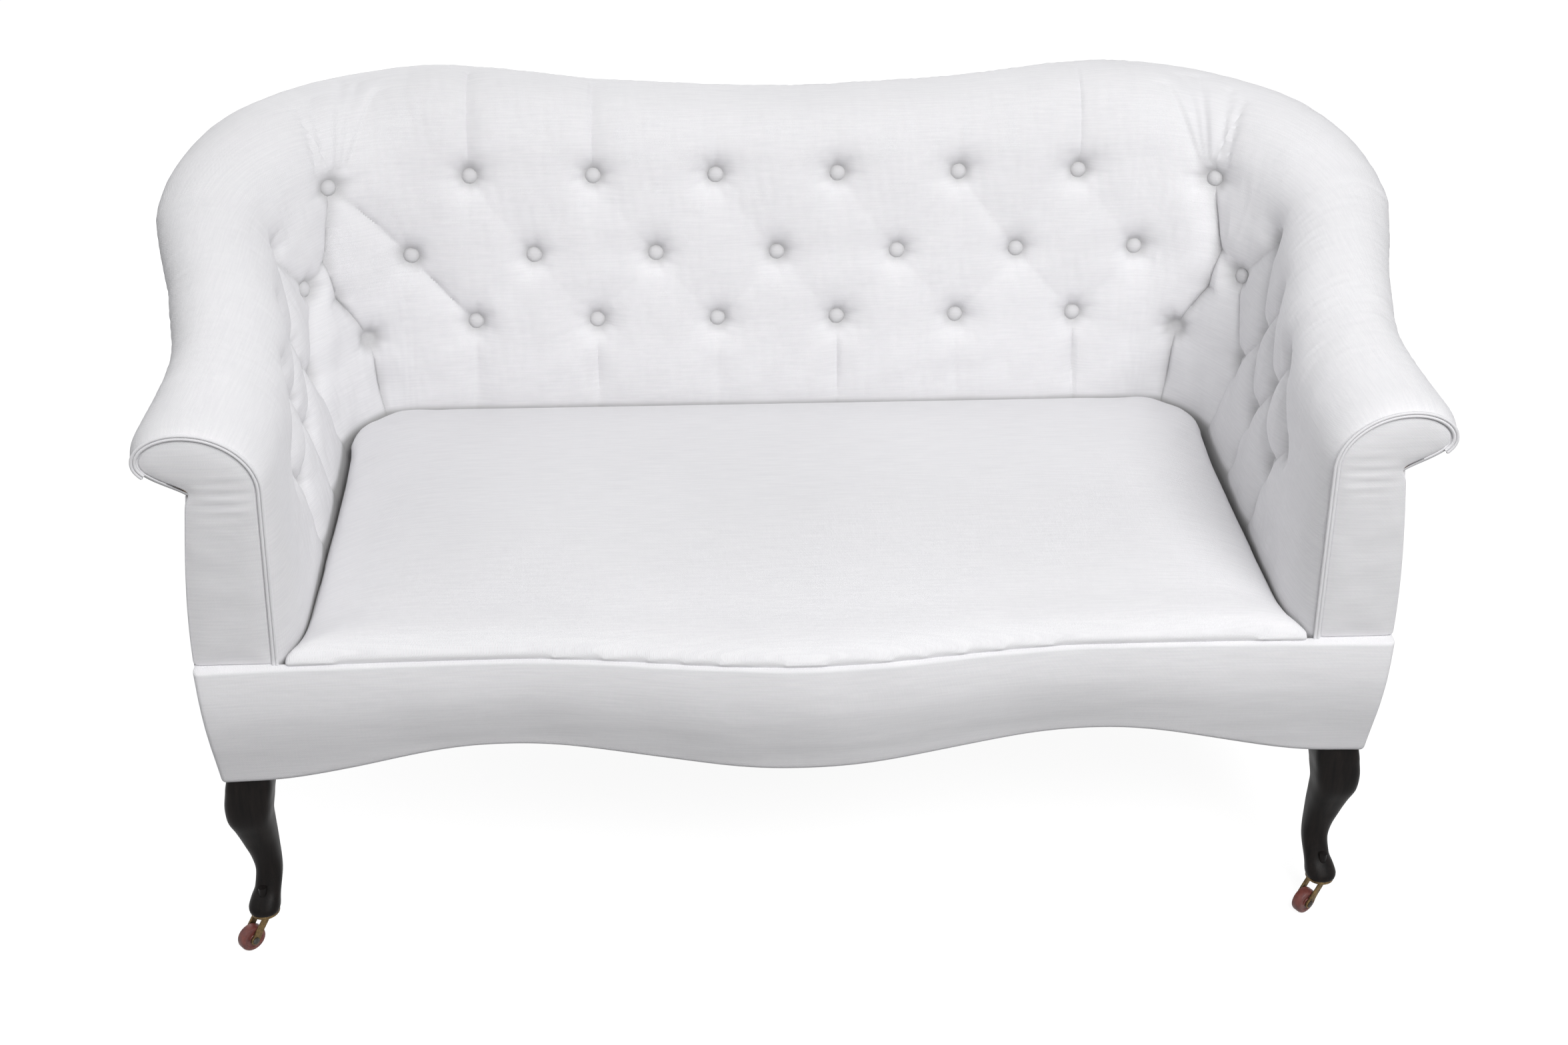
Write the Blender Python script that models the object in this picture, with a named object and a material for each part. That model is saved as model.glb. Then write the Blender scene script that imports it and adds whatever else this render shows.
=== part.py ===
"""Button-back sofa: serpentine seat, rolled tub back and arms, cabriole front legs on castors.

Metres, +Z up, +X to the sitter's left, -Y to the front. The origin is on the floor
under the middle of the whole sofa.
"""
import math

import bmesh
import bpy
import numpy as np
from mathutils import Vector

# Clearances
GAP = 0.0003
SOFT_GAP = 0.0010

# Plan of the inside faces, on the pitch line that runs at button depth
INSIDE_HALF_WIDTH = 0.550
CORNER_RADIUS = 0.080
BUTTON_SETBACK = 0.050
BACK_FACE_Y = 0.186
ARM_FRONT_Y = -0.342
ORIGIN_SHIFT_Y = -0.00342

# Heights
RAIL_TOP_Z = 0.345
SEAM_Z = 0.377
SEAM_GROOVE = 0.0035
SEAT_BACK_Z = 0.402
SEAT_CROWN = 0.018
SEAT_RIDGE_HALF = 0.60 * INSIDE_HALF_WIDTH
SEAT_NOSE_ROOM = 0.010
COVER_BOTTOM_Z = 0.2265

# Seat frame
RAIL_THICKNESS = 0.036
RAIL_OUTER_OFFSET = 0.098
COVER_OFFSET = 0.104
RAIL_BOTTOM_Z = 0.2290
RAIL_COVER_BELLY = 0.012
RAIL_LAP = 0.004
WEBBING_Z = 0.2680
WEBBING_THICKNESS = 0.0015
WEBBING_WIDTH = 0.050
SPRING_RADIUS = 0.032
SPRING_WAIST = 0.022
SPRING_END_SETBACK = 0.030
SPRING_FRONT_SETBACK = 0.121
TWINE_THICKNESS = 0.003
TWINE_END = 0.020
TWINE_STEP = 0.0001
SIDE_LAP_SETBACK = 0.045
SPRING_COLUMNS = 6
SPRING_ROWS = 3
DUST_COVER_Z = 0.2640
DUST_COVER_THICKNESS = 0.0010
CORNER_BLOCK_LEG = 0.070
CORNER_BLOCK_DROP = 0.010
CORNER_BLOCK_LIFT = 0.003
CORNER_ROOM = 0.0030
UPRIGHT_WIDTH = 0.040
UPRIGHT_DEPTH = 0.030
BACK_UPRIGHT_SHARE = 0.525
UPRIGHT_SETBACK = 0.006
LEG_NOTCH = 1.6

# Serpentine front
FRONT_Y = -0.354
FRONT_BOW = 0.030
FRONT_BOW_SHARE = 0.5
FRONT_END_FLARE = 0.007
APRON_TOP_HALF_WIDTH = INSIDE_HALF_WIDTH + 0.110
APRON_BOTTOM_HALF_WIDTH = INSIDE_HALF_WIDTH + 0.097
APRON_CENTRE_Z = 0.240
APRON_ARCH_Z = 0.263
APRON_CORNER_Z = 0.2245
APRON_ARCH_X = 0.523 * APRON_TOP_HALF_WIDTH
BORDER_THICKNESS = 0.010
BORDER_RETURN_WIDTH = 0.0066
BORDER_RETURN_STEP = 0.0004

# Upholstery
FACE_PAD = 0.048
ROLL_PAD = 0.022
EDGE_PAD = 0.008
COVER_THICKNESS = 0.003
COVER_TOP_DROP = 0.0035
HESSIAN_THICKNESS = 0.0015
HESSIAN_TOP_DROP = 0.010
NOSE_LENGTH = 0.030
NOSE_DROP = 0.008

# Buttons
CORNER_BUTTON_SETBACK = 0.0211
PLAIN_PANEL = 0.1703
CORNER_BUTTON_PULL = 0.002
BUTTON_DIAMETER = 0.022
BUTTON_HEIGHT = 0.006
BUTTON_RIM = 0.0022
BUTTON_BASE = 0.0030
BUTTON_CROWN_SHARE = 0.55
BUTTON_SINK = 0.028
BUTTON_PIT_WIDTH = 0.026
FOLD_SINK = 0.009
FOLD_WIDTH = 0.016
FOLD_ROUNDNESS = 1.4
PLEAT_FADE = 0.6
PLEAT_TOP = 1.9
PLEAT_BOTTOM = 0.0
FACE_LENGTH = 0.36
BUTTON_ROWS = (0.44, 0.675, 0.95)

# Arm facings
FACING_THICKNESS = 0.008
FACING_INSET_BASE = 0.028
FACING_INSET_TOP = 0.013
FACING_SIDE_INSET = 0.001
FACING_EDGE = 0.0022
PIPING_RADIUS = 0.0034
PIPING_START = 0.13
PIPING_END = 3.1
PIPING_SIDES = 6
POST_THICKNESS = 0.028

# Legs and castors
LEG_TOP_SIZE = 0.038
FRONT_LEG_X = INSIDE_HALF_WIDTH + 0.070
REAR_LEG_TOP_SIZE = 0.040
REAR_LEG_FOOT_SIZE = 0.030
REAR_LEG_RAKE = 0.085
REAR_LEG_SPLAY = 0.015
REAR_LEG_CURVE = 1.25
REAR_LEG_SHARES = (0.12, 0.35, 0.68, 1.0)
REAR_LEG_HEAD_DROP = 0.012
LEG_HEAD_CORNER = 0.06
REAR_LEG_CORNER = 0.08
REAR_FOOT_CORNER = 0.10
FOOT_Z = 0.0450
CASTOR_PLATE_RADIUS = 0.0165
CASTOR_PLATE_THICKNESS = 0.0035
CASTOR_STEM_RADIUS = 0.0042
CASTOR_STEM_LENGTH = 0.030
KING_PIN_RADIUS = 0.0030
KING_HEAD_RADIUS = 0.0048
KING_HEAD_THICKNESS = 0.0014
WHEEL_RADIUS = 0.0155
WHEEL_WIDTH = 0.0130
BORE_CLEARANCE = 0.0005
WHEEL_SIDES = 24
WHEEL_TREAD_EDGE = 0.0022
WHEEL_HUB_DISH = 0.0008
WHEEL_FACE_SHARE = 0.86
AXLE_RADIUS = 0.0024
RIVET_RADIUS = 0.0042
RIVET_THICKNESS = 0.0012
CASTOR_TRAIL = 0.0220
HORN_CHEEK_THICKNESS = 0.0025
HORN_PLATE_THICKNESS = 0.0040
HORN_SLOT_CLEARANCE = 0.0008
HORN_THROAT_CLEARANCE = 0.0035
HORN_EYE_RADIUS = 0.0055
HORN_HEEL = 0.0085
HORN_TOE = 0.0090
HORN_NECK = 0.0030
CUTTER_REACH = 0.010

# Stations along half of the tub: place (0-1 from the middle of the back to the corner seam,
# 1-2 from there to the arm's front), top height and the drop from it to the shoulder, then offsets
# of the roll's centre, outermost line, shoulder and underside
STATIONS = (
    (0.000, 0.788, 0.072, 0.150, 0.198, 0.066, 0.176),
    (0.367, 0.797, 0.081, 0.151, 0.200, 0.067, 0.177),
    (0.752, 0.817, 0.101, 0.155, 0.206, 0.070, 0.180),
    (1.000, 0.792, 0.081, 0.160, 0.222, 0.072, 0.178),
    (1.214, 0.737, 0.072, 0.141, 0.199, 0.060, 0.152),
    (1.469, 0.705, 0.072, 0.111, 0.160, 0.030, 0.116),
    (1.705, 0.680, 0.072, 0.092, 0.138, 0.012, 0.097),
    (1.971, 0.667, 0.072, 0.090, 0.148, 0.006, 0.095),
)
ROLL_DROP_TIP = 0.040
ROLL_DROP_UNDER = 0.086
ROLL_FULLNESS = 0.55
UNDER_FULLNESS_OUT = 0.30
UNDER_FULLNESS_DOWN = 0.25
LEVEL_SHARE = 0.4

TUCK_Z = RAIL_TOP_Z + HESSIAN_THICKNESS + 2 * GAP
PITCH_RADIUS = CORNER_RADIUS + BUTTON_SETBACK
BACK_HALF = INSIDE_HALF_WIDTH - CORNER_RADIUS
CORNER_ARC = PITCH_RADIUS * math.pi / 2
CORNER_CENTRE_Y = BACK_FACE_Y - CORNER_RADIUS
ARM_START = BACK_HALF + CORNER_ARC
ARM_END = ARM_START + CORNER_CENTRE_Y - ARM_FRONT_Y
CORNER_SEAM = BACK_HALF + CORNER_ARC / 2
CORNER_BUTTON = CORNER_SEAM - CORNER_BUTTON_SETBACK
BUTTON_PITCH_BACK = (CORNER_BUTTON + CORNER_BUTTON_PULL) / 3.5
BUTTON_PITCH_ARM = (ARM_END - PLAIN_PANEL - CORNER_BUTTON) / 3.5
FRONT_BOW_HALF_WIDTH = FRONT_BOW_SHARE * APRON_TOP_HALF_WIDTH

LINEN = (0.800, 0.795, 0.780)
HESSIAN = (0.520, 0.420, 0.280)
BEECH = (0.640, 0.460, 0.290)
EBONISED = (0.018, 0.016, 0.016)
BRASS = (0.460, 0.330, 0.140)
DARK_IRON = (0.050, 0.045, 0.042)
BROWN_WHEEL = (0.180, 0.050, 0.040)
CAMBRIC = (0.030, 0.030, 0.032)
STEEL = (0.350, 0.350, 0.360)


def clear_scene():
    for item in list(bpy.data.objects):
        bpy.data.objects.remove(item, do_unlink=True)


def make_material(name, colour, roughness, metallic=0.0):
    material = bpy.data.materials.new(name)
    material.use_nodes = True
    shader = material.node_tree.nodes["Principled BSDF"]
    shader.inputs["Base Color"].default_value = (*colour, 1.0)
    shader.inputs["Roughness"].default_value = roughness
    shader.inputs["Metallic"].default_value = metallic
    material.diffuse_color = (*colour, 1.0)
    return material


def make_object(name, mesh, finish, smooth=True):
    """Adds a mesh as the named sub-part with its own copy of a finish."""
    colour, roughness, metallic = finish
    item = bpy.data.objects.new(name, mesh)
    bpy.context.collection.objects.link(item)
    mesh.materials.append(make_material(name, colour, roughness, metallic))
    if smooth:
        mesh.shade_smooth()
        mesh.set_sharp_from_angle(angle=math.radians(40))
    return item


def mesh_from(name, points, faces):
    """Builds a closed mesh whose faces are turned outwards."""
    shape = bmesh.new()
    corners = [shape.verts.new(point) for point in points]
    for face in faces:
        shape.faces.new([corners[index] for index in face])
    bmesh.ops.recalc_face_normals(shape, faces=shape.faces)
    mesh = bpy.data.meshes.new(name)
    shape.to_mesh(mesh)
    shape.free()
    return mesh


FABRIC_FINISH = (LINEN, 0.85, 0.0)
HESSIAN_FINISH = (HESSIAN, 0.95, 0.0)
BEECH_FINISH = (BEECH, 0.60, 0.0)
LEG_FINISH = (EBONISED, 0.30, 0.0)
BRASS_FINISH = (BRASS, 0.45, 1.0)
IRON_FINISH = (DARK_IRON, 0.50, 1.0)
WHEEL_FINISH = (BROWN_WHEEL, 0.55, 0.0)
CAMBRIC_FINISH = (CAMBRIC, 0.95, 0.0)
STEEL_FINISH = (STEEL, 0.40, 1.0)


def smooth_between(x, places, values):
    """Cubic through the given values, with flat slopes where they turn."""
    places = np.asarray(places, float)
    values = np.asarray(values, float)
    x = np.clip(x, places[0], places[-1])
    steps = np.diff(values) / np.diff(places)
    slopes = np.zeros(len(places))
    rising = steps[:-1] * steps[1:] > 0
    slopes[1:-1][rising] = 2 / (1 / steps[:-1][rising] + 1 / steps[1:][rising])
    index = np.clip(np.searchsorted(places, x, side="right") - 1, 0, len(places) - 2)
    span = places[index + 1] - places[index]
    u = (x - places[index]) / span
    return ((1 + 2 * u) * (1 - u) ** 2 * values[index] + u * (1 - u) ** 2 * span * slopes[index]
            + u * u * (3 - 2 * u) * values[index + 1] + u * u * (u - 1) * span * slopes[index + 1])


def plan(along):
    """Seat-line point and outward direction in plan at a place along the tub."""
    side = np.where(along < 0, -1.0, 1.0)
    distance = np.abs(along)
    turn = np.clip((distance - BACK_HALF) / PITCH_RADIUS, 0, math.pi / 2)
    centre_x = np.minimum(distance, BACK_HALF)
    centre_y = CORNER_CENTRE_Y - np.maximum(distance - ARM_START, 0)
    out_x = np.sin(turn)
    out_y = np.cos(turn)
    base_x = centre_x + CORNER_RADIUS * out_x
    base_y = centre_y + CORNER_RADIUS * out_y
    return side * base_x, base_y, side * out_x, out_y


def station(along):
    """Section sizes at a place along the tub."""
    distance = np.abs(along)
    place = np.where(distance < CORNER_SEAM, distance / CORNER_SEAM,
                     1 + (distance - CORNER_SEAM) / (ARM_END - CORNER_SEAM))
    places = [row[0] for row in STATIONS]
    return [smooth_between(place, places, [row[k] for row in STATIONS]) for k in range(1, len(STATIONS[0]))]


def bezier(p0, p1, p2, p3, u):
    return (1 - u) ** 3 * p0 + 3 * u * (1 - u) ** 2 * p1 + 3 * u * u * (1 - u) * p2 + u ** 3 * p3


def section(along, v):
    """Section point (offset, height) and its outward normal.

    v runs 0-1 up the inside face, 1-2 over the shoulder to the top of the roll,
    2-3 from the top to the outermost line and 3-4 round the underside.
    """
    top, shoulder_drop, centre, outer, shoulder, under = station(along)
    shoulder_z = top - shoulder_drop
    tip_z = top - ROLL_DROP_TIP
    under_z = top - ROLL_DROP_UNDER
    lean = shoulder / (shoulder_z - TUCK_Z)

    def place(v):
        face, over, tip, below = (np.clip(v - k, 0, 1) for k in range(4))
        handle = ROLL_FULLNESS * shoulder_drop
        drop = ROLL_DROP_UNDER - ROLL_DROP_TIP
        points = [(shoulder * face, TUCK_Z + (shoulder_z - TUCK_Z) * face)]
        past = centre - ROLL_FULLNESS * (centre - shoulder)
        points.append((bezier(shoulder, shoulder + lean * handle, past, centre, over),
                       bezier(shoulder_z, shoulder_z + handle, top, top, over)))
        points.append((bezier(centre, centre + ROLL_FULLNESS * (outer - centre), outer, outer, tip),
                       bezier(top, top, tip_z + ROLL_FULLNESS * ROLL_DROP_TIP, tip_z, tip)))
        points.append((bezier(outer, outer, under + UNDER_FULLNESS_OUT * (outer - under), under, below),
                       bezier(tip_z, tip_z - ROLL_FULLNESS * drop, under_z + UNDER_FULLNESS_DOWN * drop,
                              under_z, below)))
        choice = np.clip(np.floor(v), 0, 3)
        offset = np.select([choice == k for k in range(4)], [p[0] for p in points])
        height = np.select([choice == k for k in range(4)], [p[1] for p in points])
        return offset, height

    offset, height = place(v)
    step = 0.01
    ahead = place(np.minimum(v + step, 4.0))
    behind = place(np.maximum(v - step, 0.0))
    run = ahead[0] - behind[0]
    climb = ahead[1] - behind[1]
    length = np.hypot(run, climb)
    return offset, height, -climb / length, run / length


def tub_point(along, v, depth):
    """Point a given depth under the upholstery's outer surface, square to it."""
    offset, height, normal_out, normal_up = section(along, v)
    base_x, base_y, out_x, out_y = plan(along)
    offset = offset - depth * normal_out
    height = height - depth * normal_up * np.clip(v / LEVEL_SHARE, 0, 1)
    return np.stack([base_x + offset * out_x, base_y + offset * out_y, height], axis=-1)


def panel_point(along, w, depth):
    """Point under the outside cover, w running 0 at the roll to 1 at the bottom edge."""
    top, *_, under = station(along)
    start_z = top - ROLL_DROP_UNDER - COVER_TOP_DROP
    height = start_z + (COVER_BOTTOM_Z - start_z) * w
    offset = under + (COVER_OFFSET - under) * w + RAIL_COVER_BELLY * np.sin(math.pi * w) - depth
    base_x, base_y, out_x, out_y = plan(along)
    return np.stack([base_x + offset * out_x, base_y + offset * out_y, height], axis=-1)


def pad_depth(v):
    """Thickness of stuffing and cover round the section."""
    v = np.asarray(v, float)
    fade = np.clip((v - 1.0) / 0.6, 0, 1)
    fade = fade * fade * (3 - 2 * fade)
    edge = np.clip((v - 3.0), 0, 1)
    return (FACE_PAD + (ROLL_PAD - FACE_PAD) * fade) * (1 - edge) + EDGE_PAD * edge


def button_places():
    """Every button as (place along the tub, v), row by row, right half first."""
    low, middle, high = BUTTON_ROWS
    half = BUTTON_PITCH_BACK / 2
    back = [(half + k * BUTTON_PITCH_BACK, high) for k in range(3)] + [(CORNER_BUTTON, high)]
    back += [(k * BUTTON_PITCH_BACK, middle) for k in range(4)]
    back += [(half + k * BUTTON_PITCH_BACK, low) for k in range(3)]
    arm = [(CORNER_BUTTON + (k + 1) * BUTTON_PITCH_ARM, high) for k in range(3)]
    arm += [(CORNER_BUTTON + (k + 0.5) * BUTTON_PITCH_ARM, middle) for k in range(4)]
    arm += [(CORNER_BUTTON + (k + 1) * BUTTON_PITCH_ARM, low) for k in range(3)]
    return back, arm


def fold_lines():
    """Folds of the cover as pairs of (along, v) ends: diamonds, and pleats at top and bottom."""
    back, arm = button_places()
    places = back + arm
    low, middle, high = BUTTON_ROWS
    lines = []
    full = [(a, v) for a, v in places] + [(-a, v) for a, v in places if a > 0]
    for a, v in full:
        if v == middle:
            for b, u in full:
                if u != middle and abs(a - b) < BUTTON_PITCH_BACK:
                    lines.append(((a, v), (b, u)))
        if v == high:
            lines.append(((a, v), (a, PLEAT_TOP)))
        if v == low:
            lines.append(((a, v), (a, PLEAT_BOTTOM)))
    return full, lines


def tuft_depth(along, v):
    """How far the cover is drawn in by the buttons and folds."""
    along = np.asarray(along, float)
    v = np.asarray(v, float)
    buttons, lines = fold_lines()
    sink = np.zeros(np.broadcast(along, v).shape)
    for a, u in buttons:
        distance = np.hypot(along - a, (v - u) * FACE_LENGTH)
        sink = np.maximum(sink, BUTTON_SINK * np.exp(-(distance / BUTTON_PIT_WIDTH) ** FOLD_ROUNDNESS))
    for (a, u), (b, w) in lines:
        dx = b - a
        dy = (w - u) * FACE_LENGTH
        span = dx * dx + dy * dy
        t = np.clip(((along - a) * dx + (v - u) * FACE_LENGTH * dy) / span, 0, 1)
        distance = np.hypot(along - a - t * dx, (v - u) * FACE_LENGTH - t * dy)
        fade = 1 - PLEAT_FADE * t if w in (PLEAT_TOP, PLEAT_BOTTOM) else 1.0
        sink = np.maximum(sink, FOLD_SINK * fade * np.exp(-(distance / FOLD_WIDTH) ** FOLD_ROUNDNESS))
    return sink


def straighten(line, kept):
    """Moves the points between kept ones onto the straight runs between them."""
    for first, last in zip(kept[:-1], kept[1:]):
        for index in range(first + 1, last):
            share = (index - first) / (last - first)
            line[index] = line[first] * (1 - share) + line[last] * share


def grid_pad(name, alongs, vs, front, back, keep_columns, keep_rows):
    """Closed pad between a fine front surface and a rear one of the kept lines only."""
    columns = len(alongs)
    rows = len(vs)
    grid_a, grid_v = np.meshgrid(alongs, vs)
    outer = front(grid_a, grid_v).reshape(-1, 3)
    inner = back(grid_a, grid_v)
    for edge in (0, -1):
        straighten(inner[:, edge], keep_rows)
        straighten(inner[edge], keep_columns)
    inner = inner.reshape(-1, 3)
    count = columns * rows
    faces = []
    for j in range(rows - 1):
        for i in range(columns - 1):
            a = j * columns + i
            faces.append((a, a + 1, a + columns + 1, a + columns))
    for j0, j1 in zip(keep_rows[:-1], keep_rows[1:]):
        for i0, i1 in zip(keep_columns[:-1], keep_columns[1:]):
            lower = [(j0, i) for i in (range(i0, i1) if j0 == 0 else (i0,))]
            lower += [(j, i1) for j in (range(j0, j1) if i1 == columns - 1 else (j0,))] + [(j1, i1)]
            upper = [(j1, i) for i in (range(i1, i0, -1) if j1 == rows - 1 else (i1,))]
            upper += [(j, i0) for j in (range(j1, j0, -1) if i0 == 0 else (j1,))] + [(j0, i0)]
            for ring in (lower, upper):
                faces.append(tuple(count + j * columns + i for j, i in reversed(ring)))
    rim = [i for i in range(columns)]
    rim += [j * columns + columns - 1 for j in range(1, rows)]
    rim += [(rows - 1) * columns + i for i in range(columns - 2, -1, -1)]
    rim += [j * columns for j in range(rows - 2, 0, -1)]
    for a, b in zip(rim, rim[1:] + rim[:1]):
        faces.append((b, a, a + count, b + count))
    points = np.concatenate([outer, inner])
    wanted = sorted(set(index for face in faces for index in face))
    renumber = {old: new for new, old in enumerate(wanted)}
    faces = [tuple(renumber[index] for index in face) for face in faces]
    return make_object(name, mesh_from(name, points[wanted], faces), FABRIC_FINISH)


def spaced(breaks, pitch):
    """Grid lines through all the breaks, no further apart than the pitch."""
    lines = [breaks[0]]
    for a, b in zip(breaks[:-1], breaks[1:]):
        pieces = max(1, math.ceil((b - a) / pitch - 1e-6))
        lines += [a + (b - a) * k / pieces for k in range(1, pieces + 1)]
    return np.array(lines)


# Lines of the section that the stuffing, hessian and frame share
REAR_LINES = (0.0, BUTTON_ROWS[0], BUTTON_ROWS[1], BUTTON_ROWS[2], 1.45, 2.0, 2.7, 3.0, 4.0)
REAR_DIVISIONS = (4, 3, 3, 2, 2, 2, 1, 2)
COLUMN_PITCH = 0.042


def section_lines():
    """Fine lines up the section, and which of them the rear keeps."""
    lines = [0.0]
    kept = [0]
    for a, b, pieces in zip(REAR_LINES[:-1], REAR_LINES[1:], REAR_DIVISIONS):
        lines += [a + (b - a) * k / pieces for k in range(1, pieces + 1)]
        kept.append(len(lines) - 1)
    return np.array(lines), kept


def kept_columns(lines):
    """Indices of the lines that the frame follows: all round the bends, every fourth across the back."""
    kept = [0]
    for index in range(1, len(lines) - 1):
        if abs(lines[index]) > BACK_HALF - COLUMN_PITCH / 2 or index - kept[-1] >= 4:
            kept.append(index)
    return kept + [len(lines) - 1]


def back_columns():
    seam = CORNER_SEAM - SOFT_GAP / 2
    half = [a for a, _ in button_places()[0]]
    lines = spaced(sorted(set([-seam, seam] + half + [-a for a in half])), COLUMN_PITCH)
    return lines, kept_columns(lines)


def arm_columns():
    seam = CORNER_SEAM + SOFT_GAP / 2
    marks = sorted(set([seam] + [a for a, _ in button_places()[1]] + [ARM_END - POST_THICKNESS, ARM_END]))
    lines = spaced(marks, COLUMN_PITCH)
    return lines, kept_columns(lines)


def back_frame_places():
    """Places along the back where the frame bends, its ends clear of the arms'."""
    lines, kept = back_columns()
    places = lines[kept]
    places[0] = GAP - CORNER_SEAM
    places[-1] = CORNER_SEAM - GAP
    return places


def arm_frame_places(side):
    """The same along an arm, up to the scroll board."""
    lines, kept = arm_columns()
    places = lines[kept][:-1]
    places[0] = CORNER_SEAM + GAP
    places[-1] = ARM_END - POST_THICKNESS - GAP
    return np.sort(side * places)


def add_buttons(pad, places):
    """Sews the covered buttons into the pad as one form."""
    points = []
    faces = []
    sides = 6
    rings = ((1.0, -BUTTON_BASE), (1.0, BUTTON_RIM), (BUTTON_CROWN_SHARE, BUTTON_HEIGHT))
    for a, v in places:
        sink = float(tuft_depth(a, v))
        centre = tub_point(np.array(a), np.array(v), sink)
        normal = centre - tub_point(np.array(a), np.array(v), sink + 0.01)
        normal = Vector(normal).normalized()
        turn = normal.to_track_quat("Z", "Y")
        first = len(points)
        for scale, lift in rings:
            for k in range(sides):
                angle = 2 * math.pi * k / sides
                flat = Vector((math.cos(angle), math.sin(angle), 0)) * scale * BUTTON_DIAMETER / 2
                points.append(Vector(centre) + turn @ (flat + Vector((0, 0, lift))))
        faces.append(tuple(first + k for k in reversed(range(sides))))
        for ring in range(len(rings) - 1):
            for k in range(sides):
                a0 = first + ring * sides + k
                a1 = first + ring * sides + (k + 1) % sides
                faces.append((a0, a1, a1 + sides, a0 + sides))
        faces.append(tuple(first + (len(rings) - 1) * sides + k for k in range(sides)))
    mesh = mesh_from(pad.name + "_buttons", points, faces)
    cutter = bpy.data.objects.new(pad.name + "_buttons", mesh)
    bpy.context.collection.objects.link(cutter)
    cutter.hide_render = True
    cutter.display_type = "WIRE"
    union = pad.modifiers.new("buttons", "BOOLEAN")
    union.operation = "UNION"
    union.object = cutter


def pad_front(along, v):
    """Outer surface of the inside pads, rounded in towards the arm facing at its end."""
    ending = np.clip((np.abs(along) - (ARM_END - NOSE_LENGTH)) / NOSE_LENGTH, 0, 1)
    return tub_point(along, v, tuft_depth(along, v) + NOSE_DROP * ending ** 2)


def pad_back(along, v):
    return tub_point(along, v, pad_depth(v))


def build_inside_pads():
    back, arm = button_places()
    rows, keep_rows = section_lines()
    lines, kept = back_columns()
    pad = grid_pad("inside_back", lines, rows, pad_front, pad_back, kept, keep_rows)
    add_buttons(pad, back + [(-a, v) for a, v in back if a > 0])
    lines, kept = arm_columns()
    pad = grid_pad("inside_arm_right", lines, rows, pad_front, pad_back, kept, keep_rows)
    add_buttons(pad, arm)
    turned_kept = [len(lines) - 1 - index for index in reversed(kept)]
    pad = grid_pad("inside_arm_left", -lines[::-1], rows, pad_front, pad_back, turned_kept, keep_rows)
    add_buttons(pad, [(-a, v) for a, v in arm])


def sheet_between(name, alongs, rows, place, near, far, finish):
    """Thin closed panel between two depths of one surface."""
    def outer(a, v):
        return place(a, v, near(v) if callable(near) else near)

    def inner(a, v):
        return place(a, v, far(v) if callable(far) else far)

    columns = len(alongs)
    grid_a, grid_v = np.meshgrid(alongs, rows)
    points = np.concatenate([outer(grid_a, grid_v).reshape(-1, 3), inner(grid_a, grid_v).reshape(-1, 3)])
    count = columns * len(rows)
    faces = []
    for j in range(len(rows) - 1):
        for i in range(columns - 1):
            a = j * columns + i
            for b, c in ((a + 1, a + columns + 1), (a + columns + 1, a + columns)):
                faces.append((a, b, c))
                faces.append((a + count, c + count, b + count))
    rim = list(range(columns)) + [j * columns + columns - 1 for j in range(1, len(rows))]
    rim += [(len(rows) - 1) * columns + i for i in range(columns - 2, -1, -1)]
    rim += [j * columns for j in range(len(rows) - 2, 0, -1)]
    for a, b in zip(rim, rim[1:] + rim[:1]):
        faces.append((b, a, a + count, b + count))
    return make_object(name, mesh_from(name, points, faces), finish)


def swept(name, alongs, outline, finish, smooth=True):
    """Rail along the tub: an outline of points at each place."""
    return loft(name, [outline(a) for a in alongs], finish, smooth)


def at_offset(along, offset, height):
    base_x, base_y, out_x, out_y = plan(np.array(float(along)))
    return (float(base_x + offset * out_x), float(base_y + offset * out_y), height)


def roll_outline(along):
    """Top rail section: fills the roll behind its pad, closed by a straight underside."""
    ring = []
    for v in REAR_LINES[3:]:
        point = tub_point(np.array(float(along)), np.array(v), pad_depth(v) + GAP)
        ring.append(tuple(float(c) for c in point))
    return ring


def rail_underside(along):
    """Front and rear edges of a top rail's underside, on the rail's own straight runs."""
    lines = back_frame_places() if abs(along) < CORNER_SEAM else arm_frame_places(np.sign(along))
    index = int(np.clip(np.searchsorted(lines, along) - 1, 0, len(lines) - 2))
    share = (along - lines[index]) / (lines[index + 1] - lines[index])
    first = roll_outline(lines[index])
    second = roll_outline(lines[index + 1])
    return [np.array(first[k]) * (1 - share) + np.array(second[k]) * share for k in (0, -1)]


def build_top_rails():
    swept("back_top_rail", back_frame_places(), roll_outline, BEECH_FINISH)
    for side, word in ((1, "right"), (-1, "left")):
        swept("arm_top_rail_" + word, arm_frame_places(side), roll_outline, BEECH_FINISH)


def box_outline(inner, outer, low, high):
    def outline(along):
        return [at_offset(along, inner, low), at_offset(along, outer, low),
                at_offset(along, outer, high), at_offset(along, inner, high)]
    return outline


def prism(name, outline, low, high, finish, bevel=0.0):
    """Upright block from a plan outline."""
    count = len(outline)
    points = [(x, y, low) for x, y in outline] + [(x, y, high) for x, y in outline]
    faces = [tuple(reversed(range(count))), tuple(range(count, 2 * count))]
    for k in range(count):
        faces.append((k, (k + 1) % count, (k + 1) % count + count, k + count))
    item = make_object(name, mesh_from(name, points, faces), finish, smooth=False)
    if bevel:
        edge = item.modifiers.new("edge", "BEVEL")
        edge.width = bevel
        edge.segments = 2
        edge.limit_method = "ANGLE"
    return item


def mirrored(outline, side):
    return [(side * x, y) for x, y in outline]


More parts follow.
